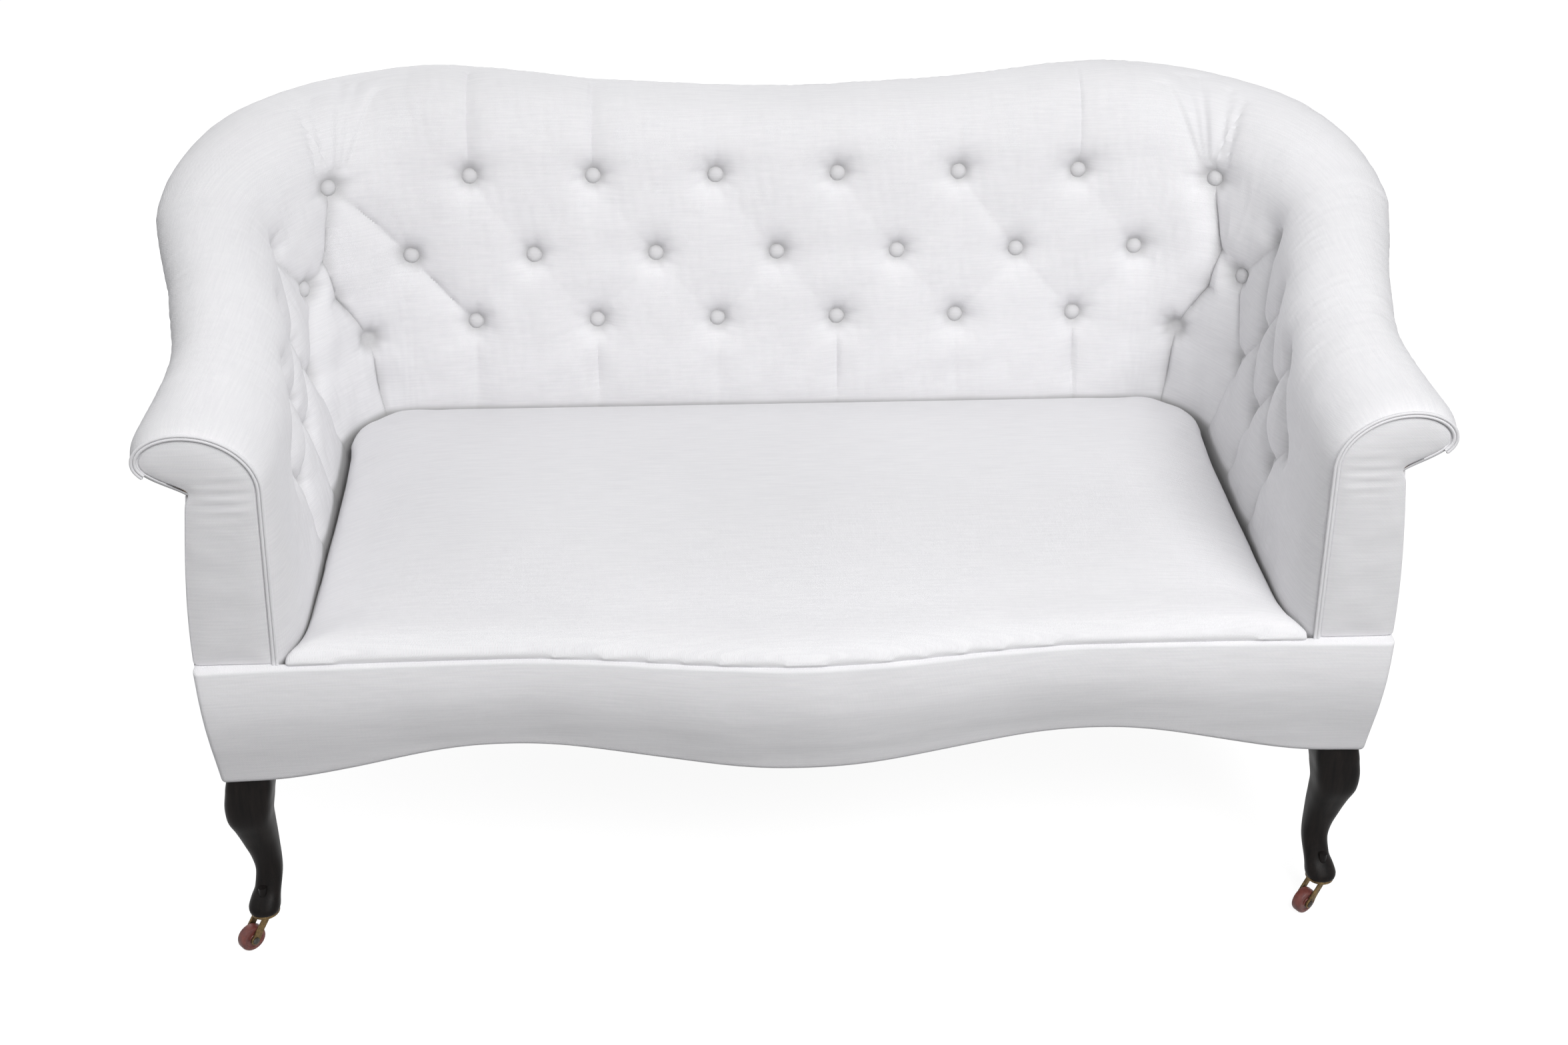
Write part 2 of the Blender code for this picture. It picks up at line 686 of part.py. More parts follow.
def front_line(x):
    """Serpentine front of the upholstery in plan."""
    reach = np.abs(x)
    bow = 0.5 + 0.5 * np.cos(math.pi * np.clip(reach / FRONT_BOW_HALF_WIDTH, 0, 1))
    flare = np.clip((reach - FRONT_BOW_HALF_WIDTH) / (APRON_TOP_HALF_WIDTH - FRONT_BOW_HALF_WIDTH), 0, 1)
    return FRONT_Y - FRONT_BOW * bow - FRONT_END_FLARE * flare ** 2


def apron_line(x):
    """Lower edge of the front border: deep in the middle and at the legs, arched between."""
    reach = np.abs(x)
    middle = 0.5 - 0.5 * np.cos(math.pi * np.clip(reach / APRON_ARCH_X, 0, 1))
    end = np.clip((reach - APRON_ARCH_X) / (FRONT_LEG_X - APRON_ARCH_X), 0, 1)
    end = 0.5 - 0.5 * np.cos(math.pi * end)
    arch = APRON_CENTRE_Z + (APRON_ARCH_Z - APRON_CENTRE_Z) * middle
    return np.where(reach < APRON_ARCH_X, arch, APRON_ARCH_Z + (APRON_CORNER_Z - APRON_ARCH_Z) * end)


FRONT_RAIL_BACK_Y = FRONT_Y + BORDER_THICKNESS + RAIL_THICKNESS
FRONT_LEG_FACE_Y = float(front_line(FRONT_LEG_X - LEG_TOP_SIZE / 2)) + BORDER_THICKNESS + 2 * GAP
FRONT_LEG_Y = FRONT_LEG_FACE_Y + LEG_TOP_SIZE / 2
RAIL_INNER_OFFSET = RAIL_OUTER_OFFSET - RAIL_THICKNESS
RAIL_BEND = 0.042
REAR_LEG_OFFSET = RAIL_OUTER_OFFSET - REAR_LEG_TOP_SIZE / 2
REAR_LEG_GAP = PITCH_RADIUS * math.asin((REAR_LEG_TOP_SIZE / 2 + GAP) / (CORNER_RADIUS + RAIL_INNER_OFFSET))


def build_seat_rails():
    """Rear and side rails follow the tub; the front rail is sawn to the serpentine."""
    outline = box_outline(RAIL_INNER_OFFSET, RAIL_OUTER_OFFSET, RAIL_BOTTOM_Z, RAIL_TOP_Z)
    half = [BACK_HALF, BACK_HALF + RAIL_BEND, CORNER_SEAM - REAR_LEG_GAP]
    swept("rear_seat_rail", [-a for a in reversed(half)] + half, outline, BEECH_FINISH, smooth=False)
    leg_back_y = FRONT_LEG_Y + LEG_TOP_SIZE / 2 + GAP
    front_end = ARM_START + CORNER_CENTRE_Y - leg_back_y
    for side, word in ((1, "right"), (-1, "left")):
        places = (CORNER_SEAM + REAR_LEG_GAP, ARM_START - RAIL_BEND, ARM_START, front_end)
        swept("side_seat_rail_" + word, [side * a for a in places], outline, BEECH_FINISH, smooth=False)
    half = FRONT_LEG_X - LEG_TOP_SIZE / 2 - GAP
    xs = np.linspace(-half, half, 23)
    rings = []
    for x in xs:
        face = float(front_line(x)) + BORDER_THICKNESS + SOFT_GAP
        low = float(apron_line(x)) + RAIL_LAP
        rings.append([(x, face, low), (x, FRONT_RAIL_BACK_Y, low),
                      (x, FRONT_RAIL_BACK_Y, RAIL_TOP_Z), (x, face, RAIL_TOP_Z)])
    loft("front_seat_rail", rings, BEECH_FINISH, smooth=False)


def loft(name, rings, finish, smooth=True):
    """Closed solid through a row of like rings."""
    sides = len(rings[0])
    points = [point for ring in rings for point in ring]
    last = (len(rings) - 1) * sides
    faces = [tuple(range(sides)), tuple(reversed(range(last, last + sides)))]
    for j in range(len(rings) - 1):
        for k in range(sides):
            a = j * sides + k
            b = j * sides + (k + 1) % sides
            faces.append((a, b, b + sides))
            faces.append((a, b + sides, a + sides))
    return make_object(name, mesh_from(name, points, faces), finish, smooth)


def build_corner_blocks():
    """Glue blocks in the front corners of the seat frame."""
    leg_inner_x = FRONT_LEG_X - LEG_TOP_SIZE / 2 - GAP
    leg_back_y = FRONT_LEG_Y + LEG_TOP_SIZE / 2 + GAP
    side_x = INSIDE_HALF_WIDTH + RAIL_INNER_OFFSET - GAP
    front_y = FRONT_RAIL_BACK_Y + GAP
    outline = [(side_x, leg_back_y), (side_x, leg_back_y + CORNER_BLOCK_LEG),
               (leg_inner_x - CORNER_BLOCK_LEG, front_y), (leg_inner_x, front_y), (leg_inner_x, leg_back_y)]
    low = WEBBING_Z + WEBBING_THICKNESS + CORNER_BLOCK_LIFT
    high = RAIL_TOP_Z - CORNER_BLOCK_DROP
    for side, word in ((1, "right"), (-1, "left")):
        prism("front_corner_block_" + word, mirrored(outline, side), low, high, BEECH_FINISH)


STUFFING_RAIL_LINES = (0.004, 0.130)
UPRIGHT_OFFSET = RAIL_INNER_OFFSET + UPRIGHT_SETBACK


def pad_rear(along, v):
    """(offset, height) of the rear of the hessian behind the inside pads."""
    depth = float(pad_depth(v)) + HESSIAN_THICKNESS + 2 * GAP
    point = tub_point(np.array(float(along)), np.array(float(v)), depth)
    base_x, base_y, out_x, out_y = plan(np.array(float(along)))
    offset = (point[0] - base_x) * out_x + (point[1] - base_y) * out_y
    return float(offset), float(point[2])


def build_stuffing_rails():
    """Lower rails that the inside covers are pulled down to."""
    def outline(along):
        ring = []
        for v in STUFFING_RAIL_LINES:
            offset, height = pad_rear(along, v)
            pair = [at_offset(along, offset + SOFT_GAP, height),
                    at_offset(along, UPRIGHT_OFFSET - GAP, height)]
            ring += pair if not ring else pair[::-1]
        return ring

    swept("back_stuffing_rail", back_frame_places(), outline, BEECH_FINISH, smooth=False)
    for side, word in ((1, "right"), (-1, "left")):
        swept("arm_stuffing_rail_" + word, arm_frame_places(side), outline, BEECH_FINISH, smooth=False)


def build_uprights():
    """Posts between the seat frame and the top rail."""
    places = [(0.0, "back_upright_centre")]
    for side, word in ((1, "right"), (-1, "left")):
        places += [(side * CORNER_SEAM * BACK_UPRIGHT_SHARE, "back_upright_" + word),
                   (side * CORNER_SEAM, "corner_upright_" + word),
                   (side * (CORNER_SEAM + ARM_END) / 2, "arm_upright_" + word)]
    for along, name in places:
        in_corner = name.startswith("corner")
        base_offset = UPRIGHT_OFFSET + (CORNER_ROOM if in_corner else 0)
        half = UPRIGHT_WIDTH / 2
        if in_corner:
            half *= PITCH_RADIUS / (CORNER_RADIUS + UPRIGHT_OFFSET)
        rings = [[], []]
        for shift in (-half, half):
            here = along + shift
            bottom = [at_offset(here, base_offset + deep, RAIL_TOP_Z + GAP) for deep in (0, UPRIGHT_DEPTH)]
            front, rear = rail_underside(here)
            out = (rear - front)[:2] / math.hypot(*(rear - front)[:2])
            climb = (rear - front)[2] / math.hypot(*(rear - front)[:2])
            top = []
            start = HESSIAN_THICKNESS + SOFT_GAP + (CORNER_ROOM if in_corner else 0)
            for deep in (start, start + UPRIGHT_DEPTH):
                place = front[:2] + out * deep
                top.append((float(place[0]), float(place[1]), float(front[2] + climb * deep) - SOFT_GAP))
            rings[0] += bottom if shift < 0 else bottom[::-1]
            rings[1] += top if shift < 0 else top[::-1]
        front_left, rear_left, rear_right, front_right = (z for _, _, z in rings[1])
        twist = abs(front_left - rear_left + rear_right - front_right)
        rings[1] = [(x, y, z - twist) for x, y, z in rings[1]]
        loft(name, rings, BEECH_FINISH, smooth=False)


def build_hessians():
    """Hessian that backs the stuffing of the back and of each arm."""
    rows = np.array((STUFFING_RAIL_LINES[0],) + REAR_LINES[1:3] + (REAR_LINES[3] - HESSIAN_TOP_DROP,))

    def near(v):
        return pad_depth(v) + GAP

    def far(v):
        return pad_depth(v) + GAP + HESSIAN_THICKNESS

    sheet_between("back_hessian", back_frame_places(), rows, tub_point, near, far, HESSIAN_FINISH)
    for side, word in ((1, "right"), (-1, "left")):
        sheet_between("arm_hessian_" + word, arm_frame_places(side), rows, tub_point, near, far,
                      HESSIAN_FINISH)


COVER_ROWS = (0.0, 0.25, 0.50, 0.75, 1.0)


def cover_columns(start, end):
    """Places of the outside covers: close together round the corner, wide elsewhere."""
    bend = list(np.linspace(BACK_HALF, ARM_START, 9))
    across = list(np.linspace(0.0, BACK_HALF, 4)[:-1])
    arm = list(np.linspace(ARM_START, ARM_END - POST_THICKNESS, 5)[1:])
    clear = POST_THICKNESS / 4
    inner = [a for a in across + bend + arm if start + clear < a < end - clear]
    return [start] + inner + [end]


def build_outside_covers():
    half = cover_columns(0.0, CORNER_SEAM - GAP)
    sheet_between("outside_back", [-a for a in half[:0:-1]] + half, COVER_ROWS, panel_point,
                  0.0, COVER_THICKNESS, FABRIC_FINISH)
    arm = cover_columns(CORNER_SEAM + GAP, ARM_END)
    for side, word in ((1, "right"), (-1, "left")):
        sheet_between("outside_arm_" + word, sorted(side * a for a in arm), COVER_ROWS, panel_point,
                      0.0, COVER_THICKNESS, FABRIC_FINISH)


def front_section(along, inner_depth, outer_depth, low):
    """Outline in (x, z) of the arm near its front, inset by depths, closed along a level low edge."""
    end = np.array(along)
    points = []
    fine = np.linspace(0, 1, 201)
    face = [v for v in fine if tub_point(end, np.array(v), inner_depth(v))[2] > low + 2 * SOFT_GAP]
    x_low = tub_point(end, np.array(face[0]), inner_depth(face[0]))[0]
    points.append((float(x_low), low))
    for v in (face[0],) + tuple(v for v in REAR_LINES[1:] if v > face[0]):
        place = tub_point(end, np.array(v), inner_depth(v))
        points.append((float(place[0]), float(place[2])))
    for w in COVER_ROWS:
        place = panel_point(end, np.array(w), outer_depth)
        if place[2] < low:
            share = (points[-1][1] - low) / (points[-1][1] - float(place[2]))
            points.append((points[-1][0] + (float(place[0]) - points[-1][0]) * share, low))
            break
        points.append((float(place[0]), float(place[2])))
    return points


def upright_slab(name, outline, front_y, thickness, finish, side, bevel=0.0):
    """Flat board standing across the arm, from an (x, z) outline."""
    count = len(outline)
    points = [(side * x, front_y, z) for x, z in outline]
    points += [(side * x, front_y + thickness, z) for x, z in outline]
    faces = [tuple(range(count)), tuple(reversed(range(count, 2 * count)))]
    for k in range(count):
        faces.append((k, (k + 1) % count, (k + 1) % count + count, k + count))
    item = make_object(name, mesh_from(name, points, faces), finish, smooth=bevel > 0)
    if bevel:
        edge = item.modifiers.new("edge", "BEVEL")
        edge.width = bevel
        edge.segments = 2
        edge.limit_method = "ANGLE"
        edge.angle_limit = math.radians(50)
    return item


def facing_inset(v):
    v = min(v, 1.0)
    return FACING_INSET_BASE + (FACING_INSET_TOP - FACING_INSET_BASE) * v


def build_arm_fronts():
    """Scroll board, covered facing and piping at the front of each arm."""
    def board_inset(v):
        return float(pad_depth(v)) + GAP

    panel_inset = COVER_THICKNESS + GAP
    board_rear = front_section(ARM_END - POST_THICKNESS, board_inset, panel_inset, RAIL_TOP_Z + GAP)
    board = front_section(ARM_END, board_inset, panel_inset, RAIL_TOP_Z + GAP)
    facing = front_section(ARM_END, facing_inset, FACING_SIDE_INSET, SEAM_Z + GAP)
    front_y = ARM_FRONT_Y - GAP - FACING_THICKNESS
    lane = PIPING_RADIUS + GAP
    for side, word in ((1, "right"), (-1, "left")):
        rings = [[(side * x, ARM_FRONT_Y, z) for x, z in board],
                 [(side * x, ARM_FRONT_Y + POST_THICKNESS, z) for x, z in board_rear]]
        loft("arm_front_board_" + word, rings, BEECH_FINISH, smooth=False)
        upright_slab("arm_facing_" + word, facing, front_y, FACING_THICKNESS, FABRIC_FINISH, side,
                     FACING_EDGE)
        route = []
        for v in list(np.linspace(PIPING_START, 1, 6)) + list(np.linspace(1.15, PIPING_END, 14)):
            place = tub_point(np.array(ARM_END), np.array(v), facing_inset(v) - lane)
            route.append((side * float(place[0]), max(float(place[2]), facing[1][1])))
        piping("facing_piping_" + word, route, ARM_FRONT_Y - lane)


def piping(name, route, y):
    """Round cord along an (x, z) route in an upright plane."""
    rings = []
    for index, (x, z) in enumerate(route):
        before = Vector(route[max(index - 1, 0)])
        after = Vector(route[min(index + 1, len(route) - 1)])
        ahead = (after - before).normalized()
        ring = []
        for k in range(PIPING_SIDES):
            angle = 2 * math.pi * (k + 0.5) / PIPING_SIDES
            aside = PIPING_RADIUS * math.cos(angle)
            ring.append((x - ahead.y * aside, y + PIPING_RADIUS * math.sin(angle), z + ahead.x * aside))
        rings.append(ring)
    loft(name, rings, FABRIC_FINISH)


def seat_bay(inset, corner_offset):
    """Plan outline of the space inside the seat rails, notched round the legs."""
    offset = RAIL_INNER_OFFSET - inset
    leg_inner_x = FRONT_LEG_X - LEG_TOP_SIZE / 2 - inset
    leg_back_y = FRONT_LEG_Y + LEG_TOP_SIZE / 2 + inset
    front_y = FRONT_RAIL_BACK_Y + inset
    side_x = INSIDE_HALF_WIDTH + offset
    half = [(leg_inner_x, front_y), (leg_inner_x, leg_back_y), (side_x, leg_back_y)]
    notch = LEG_NOTCH * REAR_LEG_GAP
    for along, reach in ((ARM_START, offset), (ARM_START - RAIL_BEND, offset),
                         (CORNER_SEAM + notch, corner_offset), (CORNER_SEAM - notch, corner_offset),
                         (BACK_HALF + RAIL_BEND, offset), (BACK_HALF, offset)):
        half.append(at_offset(along, reach, 0)[:2])
    return half + [(-x, y) for x, y in reversed(half)]


def build_dust_cover():
    """Black cambric strained under the webbing, inside the rails."""
    rear_leg_face = REAR_LEG_OFFSET - REAR_LEG_TOP_SIZE / 2 - GAP
    prism("dust_cover", seat_bay(GAP, rear_leg_face), DUST_COVER_Z, DUST_COVER_Z + DUST_COVER_THICKNESS,
          CAMBRIC_FINISH)


def build_seat_hessian():
    """Hessian over the springs, lapped onto the top of the rails."""
    rail_lap = RAIL_INNER_OFFSET + RAIL_LAP
    side = [at_offset(ARM_END - SIDE_LAP_SETBACK, rail_lap, 0)[:2]]
    corner = [at_offset(along, rail_lap, 0)[:2] for along in np.linspace(ARM_START, BACK_HALF, 9)]
    half = [(FRONT_LEG_X - LEG_TOP_SIZE, FRONT_RAIL_BACK_Y - RAIL_LAP)] + side + corner
    prism("seat_hessian", half + [(-x, y) for x, y in reversed(half)], RAIL_TOP_Z + GAP,
          RAIL_TOP_Z + GAP + HESSIAN_THICKNESS, HESSIAN_FINISH)


def spring_places():
    """Spring centres across and along the seat, on the crossings of the webs."""
    last_x = BACK_HALF - SPRING_END_SETBACK
    last_y = CORNER_CENTRE_Y - WEBBING_WIDTH / 2
    return (list(np.linspace(-last_x, last_x, SPRING_COLUMNS)),
            list(np.linspace(FRONT_RAIL_BACK_Y + SPRING_FRONT_SETBACK, last_y, SPRING_ROWS)))


def build_webbing(spring_xs, spring_ys):
    """Webs strained between the rails, as one net with a crossing under every spring."""
    half = WEBBING_WIDTH / 2
    side_x = INSIDE_HALF_WIDTH + RAIL_INNER_OFFSET - GAP
    cells_x = [-side_x] + [x + edge for x in spring_xs for edge in (-half, half)] + [side_x]
    cells_y = [FRONT_RAIL_BACK_Y + GAP] + [y + edge for y in spring_ys for edge in (-half, half)]
    cells_y += [BACK_FACE_Y + RAIL_INNER_OFFSET - GAP]
    shape = bmesh.new()
    corners = {}

    def corner(i, j):
        if (i, j) not in corners:
            corners[(i, j)] = shape.verts.new((cells_x[i], cells_y[j], WEBBING_Z))
        return corners[(i, j)]

    for i in range(len(cells_x) - 1):
        for j in range(len(cells_y) - 1):
            if i % 2 == 1 or j % 2 == 1:
                shape.faces.new((corner(i, j), corner(i + 1, j), corner(i + 1, j + 1), corner(i, j + 1)))
    raised = bmesh.ops.extrude_face_region(shape, geom=shape.faces[:])
    lifted = [item for item in raised["geom"] if isinstance(item, bmesh.types.BMVert)]
    bmesh.ops.translate(shape, verts=lifted, vec=(0, 0, WEBBING_THICKNESS))
    bmesh.ops.recalc_face_normals(shape, faces=shape.faces)
    mesh = bpy.data.meshes.new("seat_webbing")
    shape.to_mesh(mesh)
    shape.free()
    make_object("seat_webbing", mesh, HESSIAN_FINISH, smooth=False)


def build_springs(xs, ys):
    """Hourglass springs on the webbing, lashed into one unit by twine along their tops."""
    low = WEBBING_Z + WEBBING_THICKNESS + GAP
    high = RAIL_TOP_Z - GAP
    sides = 6
    points = []
    faces = []
    levels = ((low, SPRING_RADIUS), ((low + high) / 2, SPRING_WAIST),
              (high - TWINE_THICKNESS, SPRING_RADIUS))
    for x in xs:
        for y in ys:
            first = len(points)
            for z, radius in levels:
                for k in range(sides):
                    angle = 2 * math.pi * (k + 0.5) / sides
                    points.append((x + radius * math.cos(angle), y + radius * math.sin(angle), z))
            faces.append(tuple(first + k for k in reversed(range(sides))))
            for ring in range(2):
                for k in range(sides):
                    a = first + ring * sides + k
                    b = first + ring * sides + (k + 1) % sides
                    faces.append((a, b, b + sides, a + sides))
            faces.append(tuple(first + 2 * sides + k for k in range(sides)))
    springs = make_object("seat_springs", mesh_from("seat_springs", points, faces), STEEL_FINISH,
                          smooth=False)
    half = TWINE_THICKNESS / 2
    bars = [((xs[0] - TWINE_END, xs[-1] + TWINE_END), (y - half, y + half)) for y in ys]
    bars += [((x - half, x + half), (ys[0] - TWINE_END, ys[-1] + TWINE_END)) for x in xs]
    for index, ((x0, x1), (y0, y1)) in enumerate(bars):
        outline = [(x0, y0), (x1, y0), (x1, y1), (x0, y1)]
        top = high - (TWINE_STEP if index < len(ys) else 0)
        bar = prism("twine_%d" % index, outline, high - 2 * TWINE_THICKNESS, top, HESSIAN_FINISH)
        bar.hide_render = True
        bar.display_type = "WIRE"
        union = springs.modifiers.new("twine_%d" % index, "BOOLEAN")
        union.operation = "UNION"
        union.object = bar


# Rings of the seat pad: setback from the front line, height (None at the bottom, below nought under
# the seam, else a share of the crown), and how much of the plan is kept
SEAT_RINGS = (
    (BORDER_THICKNESS + 0.004, None, 1.0), (BORDER_THICKNESS + GAP, -0.003, 1.0), (2 * GAP, 0.0, 1.0),
    (2 * GAP, 0.35, 0.975), (2 * GAP, 0.62, 0.92), (2 * GAP, 0.84, 0.78), (2 * GAP, 0.96, 0.55),
    (2 * GAP, 1.0, 0.30),
)
SEAT_SIDE_X = INSIDE_HALF_WIDTH - SOFT_GAP
SEAT_TAB_X = INSIDE_HALF_WIDTH + FACING_INSET_BASE - 2 * PIPING_RADIUS - 3 * SOFT_GAP


def seat_plan():
    """Plan of the seat pad, with y left open where it follows the serpentine front."""
    half = [(float(x), None) for x in np.linspace(0, SEAT_TAB_X, 15)]
    half += [(SEAT_TAB_X, ARM_FRONT_Y - SOFT_GAP), (SEAT_SIDE_X, ARM_FRONT_Y - SOFT_GAP)]
    half += [(SEAT_SIDE_X, float(y)) for y in np.linspace(ARM_FRONT_Y + 0.02, CORNER_CENTRE_Y, 10)]
    half += [at_offset(along, -SOFT_GAP, 0)[:2] for along in np.linspace(ARM_START, BACK_HALF, 7)[1:]]
    half += [(float(x), BACK_FACE_Y - SOFT_GAP) for x in np.linspace(BACK_HALF, 0, 9)[1:]]
    return half + [(-x, y) for x, y in reversed(half[1:-1])]


def build_seat_pad():
    """Domed, sprung seat: side wall below the front seam, crown above it."""
    middle_y = (FRONT_Y + BACK_FACE_Y) / 2
    under_nose_y = ARM_FRONT_Y - 2 * SOFT_GAP

    def height(lift, y):
        if lift is None:
            return TUCK_Z
        if lift < 0:
            return SEAM_Z + lift
        rise = (SEAT_BACK_Z - SEAM_Z) * (y - FRONT_Y) / (BACK_FACE_Y - FRONT_Y)
        return SEAM_Z + rise + SEAT_CROWN * lift

    rings = []
    for setback, lift, kept in SEAT_RINGS:
        ring = []
        for x, y in seat_plan():
            if y is None:
                y = float(front_line(x)) + setback
                if abs(x) > SEAT_SIDE_X + SOFT_GAP:
                    y = min(y, under_nose_y)
            ridge_x = float(np.clip(x, -SEAT_RIDGE_HALF, SEAT_RIDGE_HALF))
            px = ridge_x + (x - ridge_x) * kept
            py = middle_y + (y - middle_y) * kept
            if abs(px) > SEAT_SIDE_X - SEAT_NOSE_ROOM and y < ARM_FRONT_Y:
                py = min(py, under_nose_y)
            ring.append((px, py, height(lift, py)))
        rings.append(ring)
    loft("seat_pad", rings, FABRIC_FINISH)


# Rows up the front border: level, and how far it bellies forwards
BORDER_PROFILE = ((0.0, 0.0), (0.08, 0.0035), (0.45, 0.0055), (0.85, 0.003), (1.0, 0.0))


def build_front_border():
    """Covered band below the front seam, turned back at both ends."""
    turn = 1 - BORDER_RETURN_WIDTH / APRON_TOP_HALF_WIDTH
    shares = [float(share) for share in np.linspace(-turn, turn, 27)]
    returns = (turn + BORDER_RETURN_STEP / APRON_TOP_HALF_WIDTH, 1.0)
    shares = [-share for share in reversed(returns)] + shares + list(returns)
    top_z = SEAM_Z - SEAM_GROOVE
    rings = []
    for share in shares:
        low = float(apron_line(share * APRON_TOP_HALF_WIDTH))
        ring = []

        def corner(level, y_of):
            half = APRON_BOTTOM_HALF_WIDTH + (APRON_TOP_HALF_WIDTH - APRON_BOTTOM_HALF_WIDTH) * level
            ring.append((share * half, y_of(share * half), low + (top_z - low) * level))

        for level, belly in BORDER_PROFILE:
            corner(level, lambda x: float(front_line(x)) - belly)
        for level in (1.0, 0.0):
            if abs(share) > turn:
                corner(level, lambda x: ARM_FRONT_Y - GAP)
            else:
                corner(level, lambda x: float(front_line(x)) + BORDER_THICKNESS)
        rings.append(ring)
    loft("front_border", rings, FABRIC_FINISH)


def soft_square(centre_x, centre_y, size, z, corner, turn=0.0):
    """Ring of a square section with cut corners."""
    half = size / 2
    cut = half * (1 - corner)
    ring = []
    for x, y in ((half, cut), (cut, half), (-cut, half), (-half, cut),
                 (-half, -cut), (-cut, -half), (cut, -half), (half, -cut)):
        ring.append((centre_x + x * math.cos(turn) - y * math.sin(turn),
                     centre_y + x * math.sin(turn) + y * math.cos(turn), z))
    return ring


# Front leg below the frame: height, shift outwards, shift forwards, width, corner rounding
CABRIOLE = (
    (0.2240, 0.0000, 0.0000, 0.050, 0.16),
    (0.2050, 0.0020, 0.0020, 0.053, 0.22),
    (0.1850, 0.0050, 0.0050, 0.053, 0.28),
    (0.1660, 0.0060, 0.0070, 0.050, 0.34),
    (0.1460, 0.0030, 0.0050, 0.044, 0.38),
    (0.1260, 0.0000, 0.0030, 0.039, 0.42),
    (0.1050, -0.0040, 0.0040, 0.033, 0.45),
    (0.0860, -0.0065, 0.0090, 0.030, 0.45),
    (0.0690, -0.0050, 0.0180, 0.030, 0.45),
    (0.0570, -0.0020, 0.0270, 0.034, 0.45),
    (0.0500, -0.0010, 0.0310, 0.036, 0.45),
    (FOOT_Z, -0.0010, 0.0320, 0.034, 0.45),
)


def stem_hole(leg, foot_x, foot_y):
    """Bores the leg's foot for the castor stem."""
    radius = CASTOR_STEM_RADIUS + BORE_CLEARANCE
    high = FOOT_Z + CASTOR_STEM_LENGTH + SOFT_GAP
    low = FOOT_Z - CUTTER_REACH
    profile = [(0, high), (radius, high), (radius, low), (0, low)]
    cutter = turned(leg.name + "_bore", profile, 12, IRON_FINISH)
    cutter.location = (foot_x, foot_y, 0)
    cutter.hide_render = True
    cutter.display_type = "WIRE"
    cut = leg.modifiers.new("stem_bore", "BOOLEAN")
    cut.operation = "DIFFERENCE"
    cut.object = cutter


def turned(name, profile, sides, finish, smooth=True):
    """Solid of revolution about Z from a profile that starts and ends on the axis or closes on itself."""
    points = []
    faces = []
    rows = []
    for radius, z in profile:
        if radius == 0:
            rows.append([len(points)])
            points.append((0, 0, z))
        else:
            rows.append(list(range(len(points), len(points) + sides)))
            for k in range(sides):
                angle = 2 * math.pi * k / sides
                points.append((radius * math.cos(angle), radius * math.sin(angle), z))
    pairs = list(zip(rows[:-1], rows[1:]))
    if profile[0][0] > 0:
        pairs.append((rows[-1], rows[0]))
    for upper, lower in pairs:
        for k in range(sides):
            n = (k + 1) % sides
            if len(upper) == 1:
                faces.append((upper[0], lower[k], lower[n]))
            elif len(lower) == 1:
                faces.append((upper[k], lower[0], upper[n]))
            else:
                faces.append((upper[k], lower[k], lower[n], upper[n]))
    return make_object(name, mesh_from(name, points, faces), finish, smooth)


def front_leg(side, word):
    """Cabriole leg with its block inside the frame; gives the middle of its foot."""
    rings = [soft_square(side * FRONT_LEG_X, FRONT_LEG_Y, LEG_TOP_SIZE, z, LEG_HEAD_CORNER)
             for z in (RAIL_TOP_Z, CABRIOLE[0][0] + TWINE_STEP)]
    for z, out, forward, size, corner in CABRIOLE:
        rings.append(soft_square(side * (FRONT_LEG_X + out), FRONT_LEG_Y - forward, size, z, corner))
    leg = loft("front_leg_" + word, rings, LEG_FINISH)
    foot = (side * (FRONT_LEG_X + CABRIOLE[-1][1]), FRONT_LEG_Y - CABRIOLE[-1][2])
    stem_hole(leg, *foot)
    return foot


def rear_leg(side, word):
    """Square leg set across the rear corner and raked backwards; gives the middle of its foot."""
    x, y, _ = at_offset(CORNER_SEAM, REAR_LEG_OFFSET, 0)
    turn = side * -math.pi / 4
    head_low = RAIL_BOTTOM_Z - REAR_LEG_HEAD_DROP
    rings = [soft_square(side * x, y, REAR_LEG_TOP_SIZE, z, REAR_LEG_CORNER, turn)
             for z in (RAIL_TOP_Z, head_low)]
    for share in REAR_LEG_SHARES:
        size = REAR_LEG_TOP_SIZE + (REAR_LEG_FOOT_SIZE - REAR_LEG_TOP_SIZE) * share
        rake = share ** REAR_LEG_CURVE
        rings.append(soft_square(side * (x + REAR_LEG_SPLAY * rake), y + REAR_LEG_RAKE * rake, size,
                                 head_low - (head_low - FOOT_Z) * share, REAR_FOOT_CORNER, turn))
    leg = loft("rear_leg_" + word, rings, LEG_FINISH)
    foot = (side * (x + REAR_LEG_SPLAY), y + REAR_LEG_RAKE)
    stem_hole(leg, *foot)
    return foot


def build_legs():
    """Two front and two rear legs; gives the foot of each for its castor."""
    feet = {}
    for side, word in ((1, "right"), (-1, "left")):
        feet["front_" + word] = front_leg(side, word)
        feet["rear_" + word] = rear_leg(side, word)
    return feet


# Direction in which each castor trails at rest, degrees in plan
CASTOR_HEADINGS = {"front_right": 212.0, "front_left": 222.0, "rear_right": 70.0, "rear_left": 118.0}


PLATE_TOP_Z = FOOT_Z - GAP
PLATE_LOW_Z = PLATE_TOP_Z - CASTOR_PLATE_THICKNESS
HORN_TOP_Z = PLATE_LOW_Z - GAP
HORN_LOW_Z = HORN_TOP_Z - HORN_PLATE_THICKNESS
HORN_SLOT_HALF = WHEEL_WIDTH / 2 + HORN_SLOT_CLEARANCE
HORN_HALF = HORN_SLOT_HALF + HORN_CHEEK_THICKNESS


